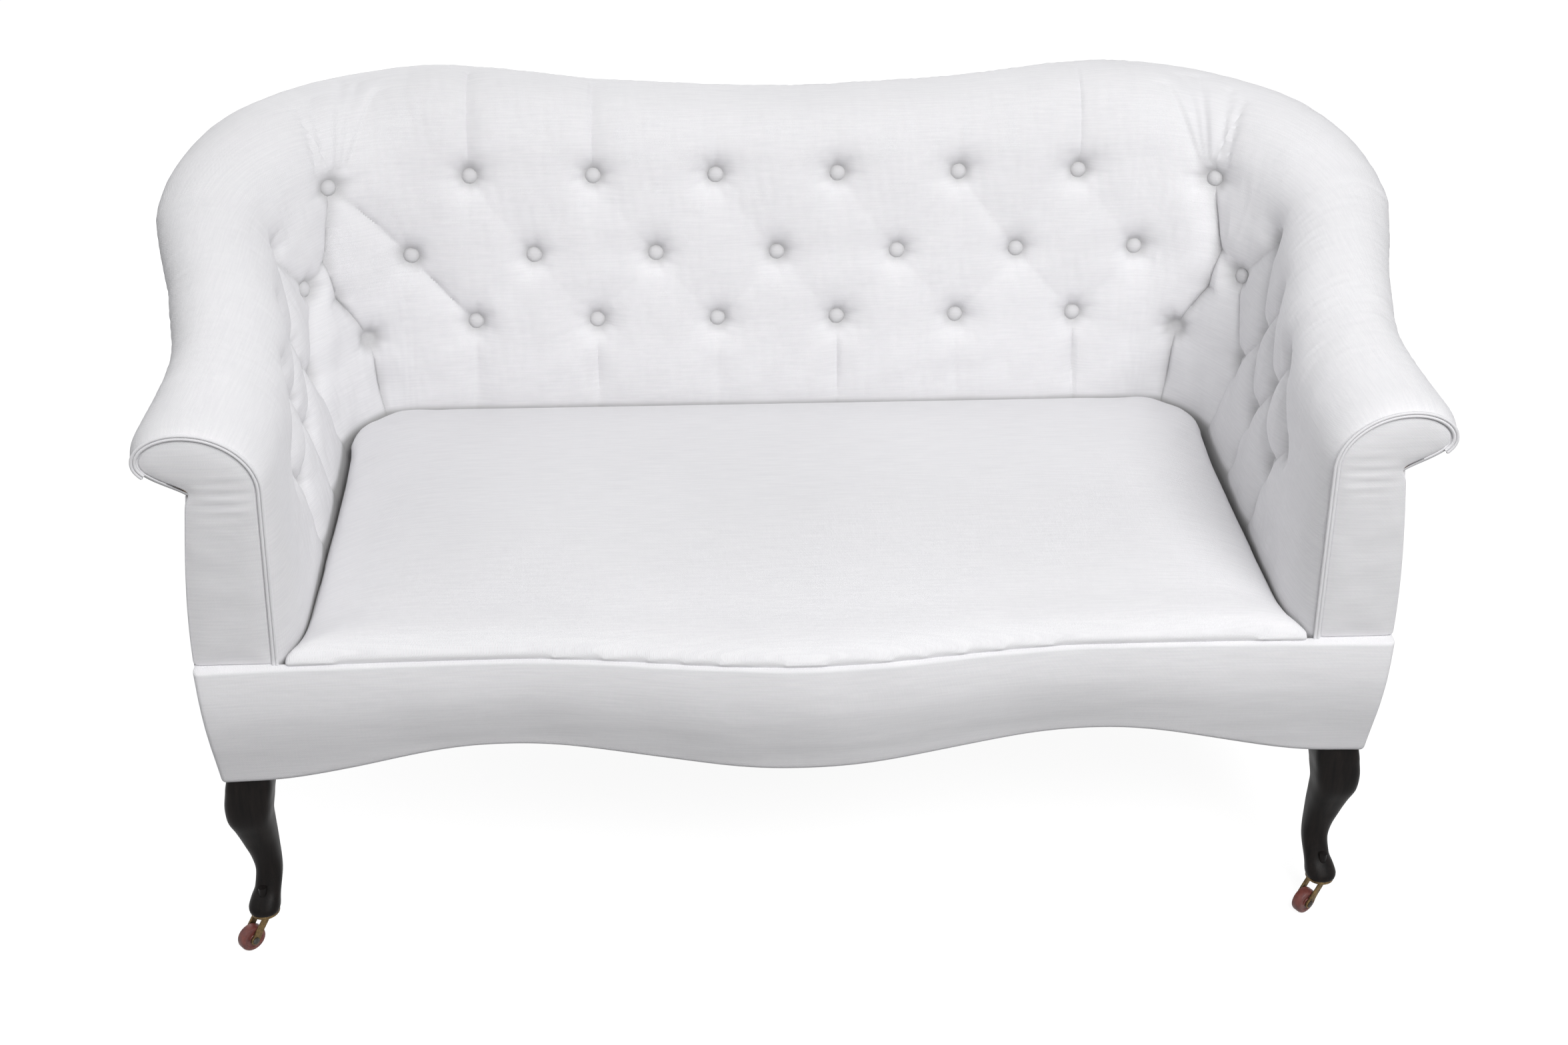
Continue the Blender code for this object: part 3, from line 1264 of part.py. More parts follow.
def empty_at(name, place, parent=None):
    pivot = bpy.data.objects.new(name, None)
    bpy.context.collection.objects.link(pivot)
    pivot.location = place
    pivot.parent = parent
    return pivot


def castor_plate(name, foot):
    """Foot plate with the stem above it and the king pin below."""
    stem_top = PLATE_TOP_Z + CASTOR_STEM_LENGTH
    pin_low = HORN_LOW_Z - GAP
    head_low = pin_low - KING_HEAD_THICKNESS
    profile = [(0, stem_top), (CASTOR_STEM_RADIUS, stem_top), (CASTOR_STEM_RADIUS, PLATE_TOP_Z),
               (CASTOR_PLATE_RADIUS, PLATE_TOP_Z), (CASTOR_PLATE_RADIUS, PLATE_LOW_Z),
               (KING_PIN_RADIUS, PLATE_LOW_Z), (KING_PIN_RADIUS, pin_low), (KING_HEAD_RADIUS, pin_low),
               (KING_HEAD_RADIUS, head_low), (0, head_low)]
    plate = turned(name, profile, 12, BRASS_FINISH)
    plate.location = (*foot, 0)


def castor_horn(place, pivot):
    """Forked horn with a bore for the king pin and an eye in each cheek for the axle."""
    side_view = [(-HORN_HEEL, HORN_LOW_Z), (-HORN_HEEL, HORN_TOP_Z), (HORN_TOE, HORN_TOP_Z)]
    for k in range(6):
        angle = math.radians(65 - 36 * k)
        side_view.append((CASTOR_TRAIL + HORN_EYE_RADIUS * math.cos(angle),
                          WHEEL_RADIUS + HORN_EYE_RADIUS * math.sin(angle)))
    side_view.append((HORN_NECK, HORN_LOW_Z))
    count = len(side_view)
    points = [(t, -HORN_HALF, z) for t, z in side_view] + [(t, HORN_HALF, z) for t, z in side_view]
    faces = [tuple(range(count)), tuple(reversed(range(count, 2 * count)))]
    for k in range(count):
        faces.append((k, (k + 1) % count, (k + 1) % count + count, k + count))
    horn_mesh = mesh_from("castor_horn_" + place, points, faces)
    horn = make_object("castor_horn_" + place, horn_mesh, BRASS_FINISH)
    horn.parent = pivot

    def opening(name, start, top):
        reach = 2 * CASTOR_TRAIL
        plan_view = [(start, -HORN_SLOT_HALF), (reach, -HORN_SLOT_HALF), (reach, HORN_SLOT_HALF),
                     (start, HORN_SLOT_HALF)]
        return prism(name + place, plan_view, -CUTTER_REACH, top, IRON_FINISH)

    def bore(name, radius, high, low, sides):
        profile = [(0, high), (radius, high), (radius, low), (0, low)]
        return turned(name + place, profile, sides, IRON_FINISH)

    throat = CASTOR_TRAIL - WHEEL_RADIUS - HORN_THROAT_CLEARANCE
    eye_reach = HORN_HALF + CUTTER_REACH
    eyes = bore("horn_eyes_", AXLE_RADIUS + BORE_CLEARANCE, eye_reach, -eye_reach, 8)
    eyes.rotation_euler = (math.pi / 2, 0, 0)
    eyes.location = (CASTOR_TRAIL, 0, WHEEL_RADIUS)
    cutters = (opening("horn_slot_", -2 * HORN_HEEL, HORN_LOW_Z),
               opening("horn_throat_", throat, HORN_TOP_Z + CUTTER_REACH),
               bore("horn_bore_", KING_PIN_RADIUS + BORE_CLEARANCE, HORN_TOP_Z + CUTTER_REACH,
                    HORN_LOW_Z - CUTTER_REACH, 12), eyes)
    for cutter in cutters:
        cutter.parent = pivot
        cutter.hide_render = True
        cutter.display_type = "WIRE"
        cut = horn.modifiers.new(cutter.name, "BOOLEAN")
        cut.operation = "DIFFERENCE"
        cut.object = cutter


def castor_wheel(place, pivot):
    """Wheel on its riveted axle."""
    spindle = empty_at("castor_spindle_" + place, (CASTOR_TRAIL, 0, WHEEL_RADIUS), pivot)
    spindle.rotation_euler = (math.pi / 2, 0, 0)
    reach = HORN_HALF + GAP
    end = reach + RIVET_THICKNESS
    profile = [(0, end), (RIVET_RADIUS, end), (RIVET_RADIUS, reach), (AXLE_RADIUS, reach),
               (AXLE_RADIUS, -reach), (RIVET_RADIUS, -reach), (RIVET_RADIUS, -end), (0, -end)]
    axle = turned("castor_axle_" + place, profile, 8, IRON_FINISH)
    axle.parent = spindle
    half = WHEEL_WIDTH / 2
    hub = half - WHEEL_HUB_DISH
    tread = half - WHEEL_TREAD_EDGE
    bore = AXLE_RADIUS + BORE_CLEARANCE
    rim = WHEEL_RADIUS / math.cos(math.pi / WHEEL_SIDES)
    face = WHEEL_FACE_SHARE * rim
    profile = [(bore, hub), (face, half), (rim, tread), (rim, -tread), (face, -half), (bore, -hub)]
    wheel = turned("castor_wheel_" + place, profile, WHEEL_SIDES, WHEEL_FINISH)
    wheel.parent = spindle
    wheel.rotation_euler = (0, 0, math.pi / WHEEL_SIDES)


def build_castor(place, foot):
    """One castor: plate driven into the foot, swivelling horn, axle and wheel."""
    castor_plate("castor_plate_" + place, foot)
    pivot = empty_at("castor_pivot_" + place, (*foot, 0))
    pivot.rotation_euler = (0, 0, math.radians(CASTOR_HEADINGS[place]))
    castor_horn(place, pivot)
    castor_wheel(place, pivot)


def build_sofa():
    clear_scene()
    build_inside_pads()
    build_hessians()
    build_top_rails()
    build_stuffing_rails()
    build_uprights()
    build_arm_fronts()
    build_outside_covers()
    build_seat_rails()
    build_corner_blocks()
    build_dust_cover()
    build_seat_hessian()
    spring_xs, spring_ys = spring_places()
    build_webbing(spring_xs, spring_ys)
    build_springs(spring_xs, spring_ys)
    build_seat_pad()
    build_front_border()
    feet = build_legs()
    for place, foot in feet.items():
        build_castor(place, foot)
    centre = empty_at("sofa_centre", (0, 0, 0))
    for item in list(bpy.data.objects):
        if item.parent is None and item is not centre:
            item.parent = centre
    centre.location = (0, ORIGIN_SHIFT_Y, 0)


build_sofa()
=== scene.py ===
"""Button back sofa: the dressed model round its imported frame. Metres, +Z up, -Y to the front."""

import math

import bmesh
import bpy
import numpy as np
from mathutils import Matrix, Vector
from mathutils.geometry import delaunay_2d_cdt


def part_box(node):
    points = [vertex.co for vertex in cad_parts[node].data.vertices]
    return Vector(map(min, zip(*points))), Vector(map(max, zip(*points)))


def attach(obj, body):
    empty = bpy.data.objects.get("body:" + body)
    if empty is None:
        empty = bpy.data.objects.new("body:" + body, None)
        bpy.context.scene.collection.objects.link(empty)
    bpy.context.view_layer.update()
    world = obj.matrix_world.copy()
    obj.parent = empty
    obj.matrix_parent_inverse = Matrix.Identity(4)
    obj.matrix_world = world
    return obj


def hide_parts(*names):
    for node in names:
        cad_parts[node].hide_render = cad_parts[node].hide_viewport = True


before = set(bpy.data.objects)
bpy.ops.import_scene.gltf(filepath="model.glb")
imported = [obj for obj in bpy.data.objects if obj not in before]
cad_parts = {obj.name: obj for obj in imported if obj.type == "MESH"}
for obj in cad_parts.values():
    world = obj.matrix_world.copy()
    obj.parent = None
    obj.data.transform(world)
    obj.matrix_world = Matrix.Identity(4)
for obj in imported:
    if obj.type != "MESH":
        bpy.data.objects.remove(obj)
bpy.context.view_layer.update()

# Camera
# A standing photographer's view: a step in front of the sofa, a little left of its middle, looking
# down into the seat. The shift is the photograph's own off-centre crop.
CAMERA_PLACE = (-0.1356, -2.1606, 1.6426)
CAMERA_YAW = -0.0689
CAMERA_PITCH = 0.4957
CAMERA_ROLL = 0.0142
camera_data = bpy.data.cameras.new("camera")
camera_data.sensor_width = 36.0
camera_data.lens = 45.92
camera_data.shift_x = -0.0087
camera_data.shift_y = -0.0639
camera_data.clip_start = 0.02
camera = bpy.data.objects.new("camera", camera_data)
bpy.context.scene.collection.objects.link(camera)
ahead = Vector((-math.sin(CAMERA_YAW) * math.cos(CAMERA_PITCH), math.cos(CAMERA_YAW) * math.cos(CAMERA_PITCH),
                -math.sin(CAMERA_PITCH)))
level = Vector((math.cos(CAMERA_YAW), math.sin(CAMERA_YAW), 0))
upright = level.cross(ahead)
right_axis = level * math.cos(CAMERA_ROLL) + upright * math.sin(CAMERA_ROLL)
up_axis = -level * math.sin(CAMERA_ROLL) + upright * math.cos(CAMERA_ROLL)
turn = Matrix((right_axis, up_axis, -ahead)).transposed()
camera.matrix_world = Matrix.Translation(CAMERA_PLACE) @ turn.to_4x4()
bpy.context.scene.camera = camera

# Studio floor, backdrop and lamps
# A seamless white sweep under an even sky of soft light, with one broad lamp high on the right, a
# weaker one on the left and one behind. The floor and the sky turn plain white only for the eye.
bpy.context.scene.view_settings.view_transform = "Standard"
SKY_LEVEL = 0.31
LAMPS = (("key_softbox", (1.0, -2.5, 3.2), 2.3, 117.0), ("fill_softbox", (-2.6, -1.2, 2.4), 2.2, 13.0),
         ("rear_softbox", (-0.6, 3.0, 1.9), 2.4, 42.0))
LAMP_AIM = (0, 0, 0.4)
FLOOR_REACH = 7.0
FLOOR_PAINT = 0.22
FLOOR_GLOW = 0.91


def math_node(tree, operation, first, second=None):
    """Result of a Math node; a second value that is a plain number stays on its socket."""
    node = tree.nodes.new("ShaderNodeMath")
    node.operation = operation
    tree.links.new(first, node.inputs[0])
    if isinstance(second, float):
        node.inputs[1].default_value = second
    elif second is not None:
        tree.links.new(second, node.inputs[1])
    return node.outputs[0]


def seen_directly(tree):
    """Light Path's camera, glossy and transmission rays as one factor."""
    path = tree.nodes.new("ShaderNodeLightPath")
    either = math_node(tree, "MAXIMUM", path.outputs["Is Camera Ray"], path.outputs["Is Glossy Ray"])
    return math_node(tree, "MAXIMUM", either, path.outputs["Is Transmission Ray"])


world = bpy.data.worlds.new("studio_sky")
bpy.context.scene.world = world
world.use_nodes = True
sky_tree = world.node_tree
sky_light = sky_tree.nodes["Background"]
sky_light.inputs["Color"].default_value = (0.98, 0.99, 1.0, 1.0)
sky_light.inputs["Strength"].default_value = SKY_LEVEL
white_sky = sky_tree.nodes.new("ShaderNodeBackground")
white_sky.inputs["Strength"].default_value = 1.0
white_sky.inputs["Color"].default_value = (1.0, 1.0, 1.0, 1.0)
sky_choice = sky_tree.nodes.new("ShaderNodeMixShader")
sky_tree.links.new(seen_directly(sky_tree), sky_choice.inputs[0])
sky_tree.links.new(sky_light.outputs[0], sky_choice.inputs[1])
sky_tree.links.new(white_sky.outputs[0], sky_choice.inputs[2])
sky_tree.links.new(sky_choice.outputs[0], sky_tree.nodes["World Output"].inputs["Surface"])

for lamp_name, place, size, power in LAMPS:
    lamp_data = bpy.data.lights.new(lamp_name, "AREA")
    lamp_data.shape = "DISK"
    lamp_data.size = size
    lamp_data.energy = power
    lamp = bpy.data.objects.new(lamp_name, lamp_data)
    bpy.context.scene.collection.objects.link(lamp)
    aim = Vector(LAMP_AIM) - Vector(place)
    lamp.matrix_world = Matrix.Translation(place) @ aim.to_track_quat("-Z", "Y").to_matrix().to_4x4()

floor_material = bpy.data.materials.new("studio_floor")
floor_material.use_nodes = True
floor_tree = floor_material.node_tree
floor_tree.nodes.clear()
floor_paint = floor_tree.nodes.new("ShaderNodeBsdfDiffuse")
floor_paint.inputs["Color"].default_value = (FLOOR_PAINT, FLOOR_PAINT, FLOOR_PAINT, 1.0)
floor_glow = floor_tree.nodes.new("ShaderNodeEmission")
floor_glow.inputs["Color"].default_value = (1.0, 1.0, 1.0, 1.0)
floor_lift = math_node(floor_tree, "MULTIPLY", seen_directly(floor_tree), FLOOR_GLOW)
floor_tree.links.new(floor_lift, floor_glow.inputs["Strength"])
floor_sum = floor_tree.nodes.new("ShaderNodeAddShader")
floor_tree.links.new(floor_paint.outputs[0], floor_sum.inputs[0])
floor_tree.links.new(floor_glow.outputs[0], floor_sum.inputs[1])
floor_out = floor_tree.nodes.new("ShaderNodeOutputMaterial")
floor_tree.links.new(floor_sum.outputs[0], floor_out.inputs["Surface"])
floor_mesh = bpy.data.meshes.new("studio_floor")
floor_mesh.from_pydata([(-FLOOR_REACH, -FLOOR_REACH, 0), (FLOOR_REACH, -FLOOR_REACH, 0),
                        (FLOOR_REACH, FLOOR_REACH, 0), (-FLOOR_REACH, FLOOR_REACH, 0)], [], [(0, 1, 2, 3)])
floor_mesh.materials.append(floor_material)
floor = bpy.data.objects.new("studio_floor", floor_mesh)
bpy.context.scene.collection.objects.link(floor)

# Beech frame
# Sawn and planed beech, glued and dowelled, left in the white. It all lies under the upholstery,
# so each part keeps its joiner's shape and only takes its grain, laid along the part.
GRAIN_STRETCH = 14.0
BEECH_PALE = (0.66, 0.47, 0.30)
BEECH_DARK = (0.50, 0.33, 0.19)


def new_material(name, roughness):
    """New node material of one roughness, with its tree and its shader."""
    material = bpy.data.materials.new(name)
    material.use_nodes = True
    tree = material.node_tree
    shader = tree.nodes["Principled BSDF"]
    shader.inputs["Roughness"].default_value = roughness
    return material, tree, shader


def noise(tree, vector, scale, detail=3.0, rough=0.55):
    node = tree.nodes.new("ShaderNodeTexNoise")
    node.inputs["Scale"].default_value = scale
    node.inputs["Detail"].default_value = detail
    node.inputs["Roughness"].default_value = rough
    tree.links.new(vector, node.inputs["Vector"])
    return node.outputs["Fac"]


def colour_ramp(tree, factor, stops):
    node = tree.nodes.new("ShaderNodeValToRGB")
    tree.links.new(factor, node.inputs["Fac"])
    elements = node.color_ramp.elements
    while len(elements) < len(stops):
        elements.new(0.5)
    for element, (place, colour) in zip(elements, stops):
        element.position = place
        element.color = (*colour, 1.0)
    return node.outputs["Color"]


def stretched(tree, vector, scales):
    node = tree.nodes.new("ShaderNodeMapping")
    node.inputs["Scale"].default_value = scales
    tree.links.new(vector, node.inputs["Vector"])
    return node.outputs["Vector"]


def bump(tree, shader, height, distance, strength=1.0, below=None):
    node = tree.nodes.new("ShaderNodeBump")
    node.inputs["Distance"].default_value = distance
    node.inputs["Strength"].default_value = strength
    tree.links.new(height, node.inputs["Height"])
    if below is not None:
        tree.links.new(below, node.inputs["Normal"])
    tree.links.new(node.outputs["Normal"], shader.inputs["Normal"])
    return node.outputs["Normal"]


def object_place(tree):
    return tree.nodes.new("ShaderNodeTexCoord").outputs["Object"]


def beech(grain_axis):
    """Planed beech with its grain along one axis: fine pores and slow bands of heartwood."""
    material, tree, shader = new_material("beech_grain_" + grain_axis, 0.62)
    across = [1.0 if axis == grain_axis else GRAIN_STRETCH for axis in "xyz"]
    along_grain = stretched(tree, object_place(tree), across)
    bands = noise(tree, along_grain, 2.4, 4.0, 0.6)
    tree.links.new(colour_ramp(tree, bands, ((0.32, BEECH_DARK), (0.62, BEECH_PALE))), shader.inputs["Base Color"])
    bump(tree, shader, noise(tree, along_grain, 26.0, 2.0), 0.0004, 0.5)
    return material


beech_by_grain = {axis: beech(axis) for axis in "xyz"}
FRAME_PARTS = {
    "x": ["front_seat_rail", "rear_seat_rail", "back_top_rail", "back_stuffing_rail", "front_corner_block_right",
          "front_corner_block_left"],
    "y": ["side_seat_rail_right", "side_seat_rail_left", "arm_top_rail_right", "arm_top_rail_left",
          "arm_stuffing_rail_right", "arm_stuffing_rail_left"],
    "z": ["back_upright_centre", "back_upright_right", "back_upright_left", "corner_upright_right",
          "corner_upright_left", "arm_upright_right", "arm_upright_left", "arm_front_board_right",
          "arm_front_board_left"],
}
for grain_axis, part_names in FRAME_PARTS.items():
    for part_name in part_names:
        wood_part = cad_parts[part_name]
        wood_part.data.materials.clear()
        wood_part.data.materials.append(beech_by_grain[grain_axis])

# Inside back and inside arms
# Horsehair and felt stuffing under one plain off-white cloth, drawn in by sewn buttons in rows of
# eight, seven and six. Slack cloth lies in diagonal folds between them, and in pleats over the crest.
GAP = 0.0003
INSIDE_HALF_WIDTH = 0.550
CORNER_RADIUS = 0.080
BUTTON_SETBACK = 0.050
BACK_FACE_Y = 0.186
ARM_FRONT_Y = -0.342
ORIGIN_SHIFT_Y = -0.00342
RAIL_TOP_Z = 0.345
TUCK_Z = 0.3471
PITCH_RADIUS = CORNER_RADIUS + BUTTON_SETBACK
BACK_HALF = INSIDE_HALF_WIDTH - CORNER_RADIUS
CORNER_CENTRE_Y = BACK_FACE_Y - CORNER_RADIUS
ARM_START = BACK_HALF + PITCH_RADIUS * math.pi / 2
ARM_END = ARM_START + CORNER_CENTRE_Y - ARM_FRONT_Y
CORNER_SEAM = BACK_HALF + PITCH_RADIUS * math.pi / 4
CORNER_BUTTON = CORNER_SEAM - 0.0211
BACK_BUTTON_PITCH = (CORNER_BUTTON + 0.002) / 3.5
ARM_BUTTON_PITCH = (ARM_END - 0.1703 - CORNER_BUTTON) / 3.5
BUTTON_ROWS = (0.44, 0.675, 0.95)
ROLL_DROP_TIP = 0.040
ROLL_DROP_UNDER = 0.086
# Place along half of the tub, top height, drop to the shoulder, then offsets of the roll's centre, tip,
# shoulder and underside
STATIONS = (
    (0.000, 0.788, 0.072, 0.150, 0.198, 0.066, 0.176), (0.367, 0.797, 0.081, 0.151, 0.200, 0.067, 0.177),
    (0.752, 0.817, 0.101, 0.155, 0.206, 0.070, 0.180), (1.000, 0.792, 0.081, 0.160, 0.222, 0.072, 0.178),
    (1.214, 0.737, 0.072, 0.141, 0.199, 0.060, 0.152), (1.469, 0.705, 0.072, 0.111, 0.160, 0.030, 0.116),
    (1.705, 0.680, 0.072, 0.092, 0.138, 0.012, 0.097), (1.971, 0.667, 0.072, 0.090, 0.148, 0.006, 0.095),
)


def smooth_between(x, places, values):
    """Cubic through the given values, with flat slopes where they turn."""
    places = np.asarray(places, float)
    values = np.asarray(values, float)
    x = np.clip(x, places[0], places[-1])
    steps = np.diff(values) / np.diff(places)
    slopes = np.zeros(len(places))
    rising = steps[:-1] * steps[1:] > 0
    slopes[1:-1][rising] = 2 / (1 / steps[:-1][rising] + 1 / steps[1:][rising])
    index = np.clip(np.searchsorted(places, x, side="right") - 1, 0, len(places) - 2)
    span = places[index + 1] - places[index]
    u = (x - places[index]) / span
    return ((1 + 2 * u) * (1 - u) ** 2 * values[index] + u * (1 - u) ** 2 * span * slopes[index]
            + u * u * (3 - 2 * u) * values[index + 1] + u * u * (u - 1) * span * slopes[index + 1])


def plan(along):
    """Seat-line point and outward direction in plan at a place along the tub."""
    side = np.where(along < 0, -1.0, 1.0)
    distance = np.abs(along)
    turned = np.clip((distance - BACK_HALF) / PITCH_RADIUS, 0, math.pi / 2)
    out_x, out_y = np.sin(turned), np.cos(turned)
    base_x = np.minimum(distance, BACK_HALF) + CORNER_RADIUS * out_x
    base_y = CORNER_CENTRE_Y - np.maximum(distance - ARM_START, 0) + CORNER_RADIUS * out_y + ORIGIN_SHIFT_Y
    return side * base_x, base_y, side * out_x, out_y


def station(along):
    distance = np.abs(along)
    place = np.where(distance < CORNER_SEAM, distance / CORNER_SEAM,
                     1 + (distance - CORNER_SEAM) / (ARM_END - CORNER_SEAM))
    return [smooth_between(place, [row[0] for row in STATIONS], [row[k] for row in STATIONS]) for k in range(1, 7)]


def bezier(p0, p1, p2, p3, u):
    return (1 - u) ** 3 * p0 + 3 * u * (1 - u) ** 2 * p1 + 3 * u * u * (1 - u) * p2 + u ** 3 * p3


def section(along, v):
    """Offset and height round the section: 0-1 up the face, 1-2 shoulder, 2-3 to the tip, 3-4 under the roll."""
    top, shoulder_drop, centre, outer, shoulder, under = station(along)
    shoulder_z, tip_z, under_z = top - shoulder_drop, top - ROLL_DROP_TIP, top - ROLL_DROP_UNDER
    lean = shoulder / (shoulder_z - TUCK_Z)
    drop = ROLL_DROP_UNDER - ROLL_DROP_TIP
    handle = 0.55 * shoulder_drop
    face, over, tip, below = (np.clip(v - k, 0, 1) for k in range(4))
    runs = [(shoulder * face, TUCK_Z + (shoulder_z - TUCK_Z) * face),
            (bezier(shoulder, shoulder + lean * handle, centre - 0.55 * (centre - shoulder), centre, over),
             bezier(shoulder_z, shoulder_z + handle, top, top, over)),
            (bezier(centre, centre + 0.55 * (outer - centre), outer, outer, tip),
             bezier(top, top, tip_z + 0.55 * ROLL_DROP_TIP, tip_z, tip)),
            (bezier(outer, outer, under + 0.3 * (outer - under), under, below),
             bezier(tip_z, tip_z - 0.55 * drop, under_z + 0.25 * drop, under_z, below))]
    choice = np.clip(np.floor(v), 0, 3)
    return [np.select([choice == k for k in range(4)], [run[axis] for run in runs]) for axis in range(2)]


def tub_point(along, v, depth):
    """Point a given depth under the plain surface of the upholstery, square to it."""
    step = 0.01
    offset, height = section(along, v)
    ahead_offset, ahead_height = section(along, np.minimum(v + step, 4.0))
    behind_offset, behind_height = section(along, np.maximum(v - step, 0.0))
    run, climb = ahead_offset - behind_offset, ahead_height - behind_height
    length = np.hypot(run, climb)
    offset = offset + depth * climb / length
    height = height - depth * run / length * np.clip(v / 0.4, 0, 1)
    base_x, base_y, out_x, out_y = plan(along)
    return np.stack([base_x + offset * out_x, base_y + offset * out_y, height], axis=-1)


def pad_depth(v):
    fade = np.clip((v - 1.0) / 0.6, 0, 1)
    fade = fade * fade * (3 - 2 * fade)
    edge = np.clip(v - 3.0, 0, 1)
    return (0.048 + (0.022 - 0.048) * fade) * (1 - edge) + 0.008 * edge


def girth_table():
    """Length of cloth up the section to each v, for places along the tub."""
    places = np.linspace(0, ARM_END + 0.01, 160)
    vs = np.linspace(0, 4, 401)
    grid_a, grid_v = np.meshgrid(places, vs, indexing="ij")
    offset, height = section(grid_a, grid_v)
    steps = np.hypot(np.diff(offset, axis=1), np.diff(height, axis=1))
    return places, vs, np.concatenate([np.zeros((len(places), 1)), np.cumsum(steps, axis=1)], axis=1)


GIRTH_PLACES, GIRTH_VS, GIRTH = girth_table()


def girth(along, v):
    """Cloth length from the tuck up to v, read from the table."""
    i = np.clip(np.abs(along) / GIRTH_PLACES[1], 0, len(GIRTH_PLACES) - 1.001)
    j = np.clip(v / GIRTH_VS[1], 0, len(GIRTH_VS) - 1.001)
    i0, j0 = np.floor(i).astype(int), np.floor(j).astype(int)
    fi, fj = i - i0, j - j0
    return ((GIRTH[i0, j0] * (1 - fj) + GIRTH[i0, j0 + 1] * fj) * (1 - fi)
            + (GIRTH[i0 + 1, j0] * (1 - fj) + GIRTH[i0 + 1, j0 + 1] * fj) * fi)


def sewn_buttons():
    """Buttons of the right half as (place along, v): those of the back, then those of the arm."""
    low, middle, high = BUTTON_ROWS
    back = [((k + 0.5) * BACK_BUTTON_PITCH, high) for k in range(3)] + [(CORNER_BUTTON, high)]
    back += [(k * BACK_BUTTON_PITCH, middle) for k in range(4)]
    back += [((k + 0.5) * BACK_BUTTON_PITCH, low) for k in range(3)]
    arm = [(CORNER_BUTTON + (k + 1) * ARM_BUTTON_PITCH, high) for k in range(3)]
    arm += [(CORNER_BUTTON + (k + 0.5) * ARM_BUTTON_PITCH, middle) for k in range(4)]
    arm += [(CORNER_BUTTON + (k + 1) * ARM_BUTTON_PITCH, low) for k in range(3)]
    return back, arm


BACK_BUTTONS, ARM_BUTTONS = sewn_buttons()
RIGHT_BUTTONS = BACK_BUTTONS + ARM_BUTTONS
CORNER_PIT = (CORNER_BUTTON - 0.015, 0.40)
# The line where the back's cloth is folded under the arm's: up from the seat to a deep pit, out
# towards the arm, in to the corner button and over the crest
CORNER_LINE = ((0.0, 0.534), (0.40, 0.536), (0.58, 0.569), (0.72, 0.575), (0.95, 0.551), (1.3, 0.556), (2.0, 0.568),
               (2.6, CORNER_SEAM), (4.0, CORNER_SEAM))
FAINT_FOLD = 0.0016
SLIGHT_FOLD = 0.0034
FULL_FOLD = 0.0080
ARM_FOLD = 0.0088
CREST_PLEATS = ((0.0050, 1.8), (0.0055, 1.95), (0.0050, 1.95), (0.0022, 1.25), (0.0018, 1.3), (0.0022, 1.25),
                (0.0042, 1.9), (0.0046, 1.8))
SEAT_PLEATS = (0.0030, 0.0042, 0.0020, 0.0042, 0.0020, 0.0070)
ARM_CREST_FOLD = 0.0050
ARM_SEAT_FOLD = 0.0070
CORNER_FOLD = 0.0105
# Gathers over the crest from each corner button: lean sideways and v reached
CORNER_GATHERS = ((-0.034, 1.75), (-0.022, 1.95), (-0.011, 2.0), (0.016, 1.9), (0.030, 1.8))
GATHER_FOLD = 0.0050
GATHER_SHIFT = -0.022


def corner_line(v):
    return np.interp(v, [row[0] for row in CORNER_LINE], [row[1] for row in CORNER_LINE])


def cloth_folds():
    """Folds as (start, end, depth, sharpness, fade towards the end); an end is (place along, v)."""
    low, middle, high = BUTTON_ROWS
    folds = []
    for side in (-1, 1):
        for a, v in RIGHT_BUTTONS:
            for b, w in RIGHT_BUTTONS:
                if v != middle or w == middle or abs(a - b) > BACK_BUTTON_PITCH:
                    continue
                on_arm = max(a, b) > CORNER_BUTTON + 0.01
                if on_arm and min(a, b) < CORNER_BUTTON + 0.01:
                    continue
                outer_chain = side < 0 and (w == high) == (b > a) and max(a, b) > 2.9 * BACK_BUTTON_PITCH
                inner_chain = side > 0 and (w == low) == (b > a) and abs(a - 2 * BACK_BUTTON_PITCH) < 0.01
                if on_arm:
                    depth = ARM_FOLD
                elif outer_chain:
                    depth = FULL_FOLD
                else:
                    depth = SLIGHT_FOLD if inner_chain else FAINT_FOLD
                sharpness = 1.0 if on_arm or outer_chain else 0.5
                folds.append(((side * a, v), (side * b, w), depth, sharpness, 0.0))
        for a, v in ARM_BUTTONS:
            if v == high:
                folds.append(((side * a, v), (side * a, 1.35), ARM_CREST_FOLD, 0.3, 0.9))
            if v == low:
                folds.append(((side * a, v), (side * a, 0.0), ARM_SEAT_FOLD, 1.0, 0.3))
        for (v0, a0), (v1, a1) in zip(CORNER_LINE[:4], CORNER_LINE[1:5]):
            folds.append(((side * a0, v0), (side * a1, v1), CORNER_FOLD, 1.0, 0.0))
        first_of_arm = CORNER_BUTTON + 0.5 * ARM_BUTTON_PITCH
        meeting_v, meeting_a = CORNER_LINE[3]
        folds.append(((side * first_of_arm, middle), (side * meeting_a, meeting_v), 0.6 * ARM_FOLD, 1.0, 0.0))
        for lean, reach in CORNER_GATHERS:
            start = side * (CORNER_BUTTON + 0.5 * lean)
            stop = side * (CORNER_BUTTON + lean + GATHER_SHIFT)
            folds.append(((start, 1.02), (stop, reach), GATHER_FOLD, 1.6, 0.4))
    top_row = sorted([-a for a, v in BACK_BUTTONS if v == high] + [a for a, v in BACK_BUTTONS if v == high])
    for a, (depth, reach) in zip(top_row, CREST_PLEATS):
        folds.append(((a, high), (a, reach), depth, 1.7, 0.5))
    low_row = sorted([-a for a, v in BACK_BUTTONS if v == low] + [a for a, v in BACK_BUTTONS if v == low])
    for a, depth in zip(low_row, SEAT_PLEATS):
        folds.append(((a, low), (a * 1.01, 0.0), depth, 1.7, 0.2))
    return folds


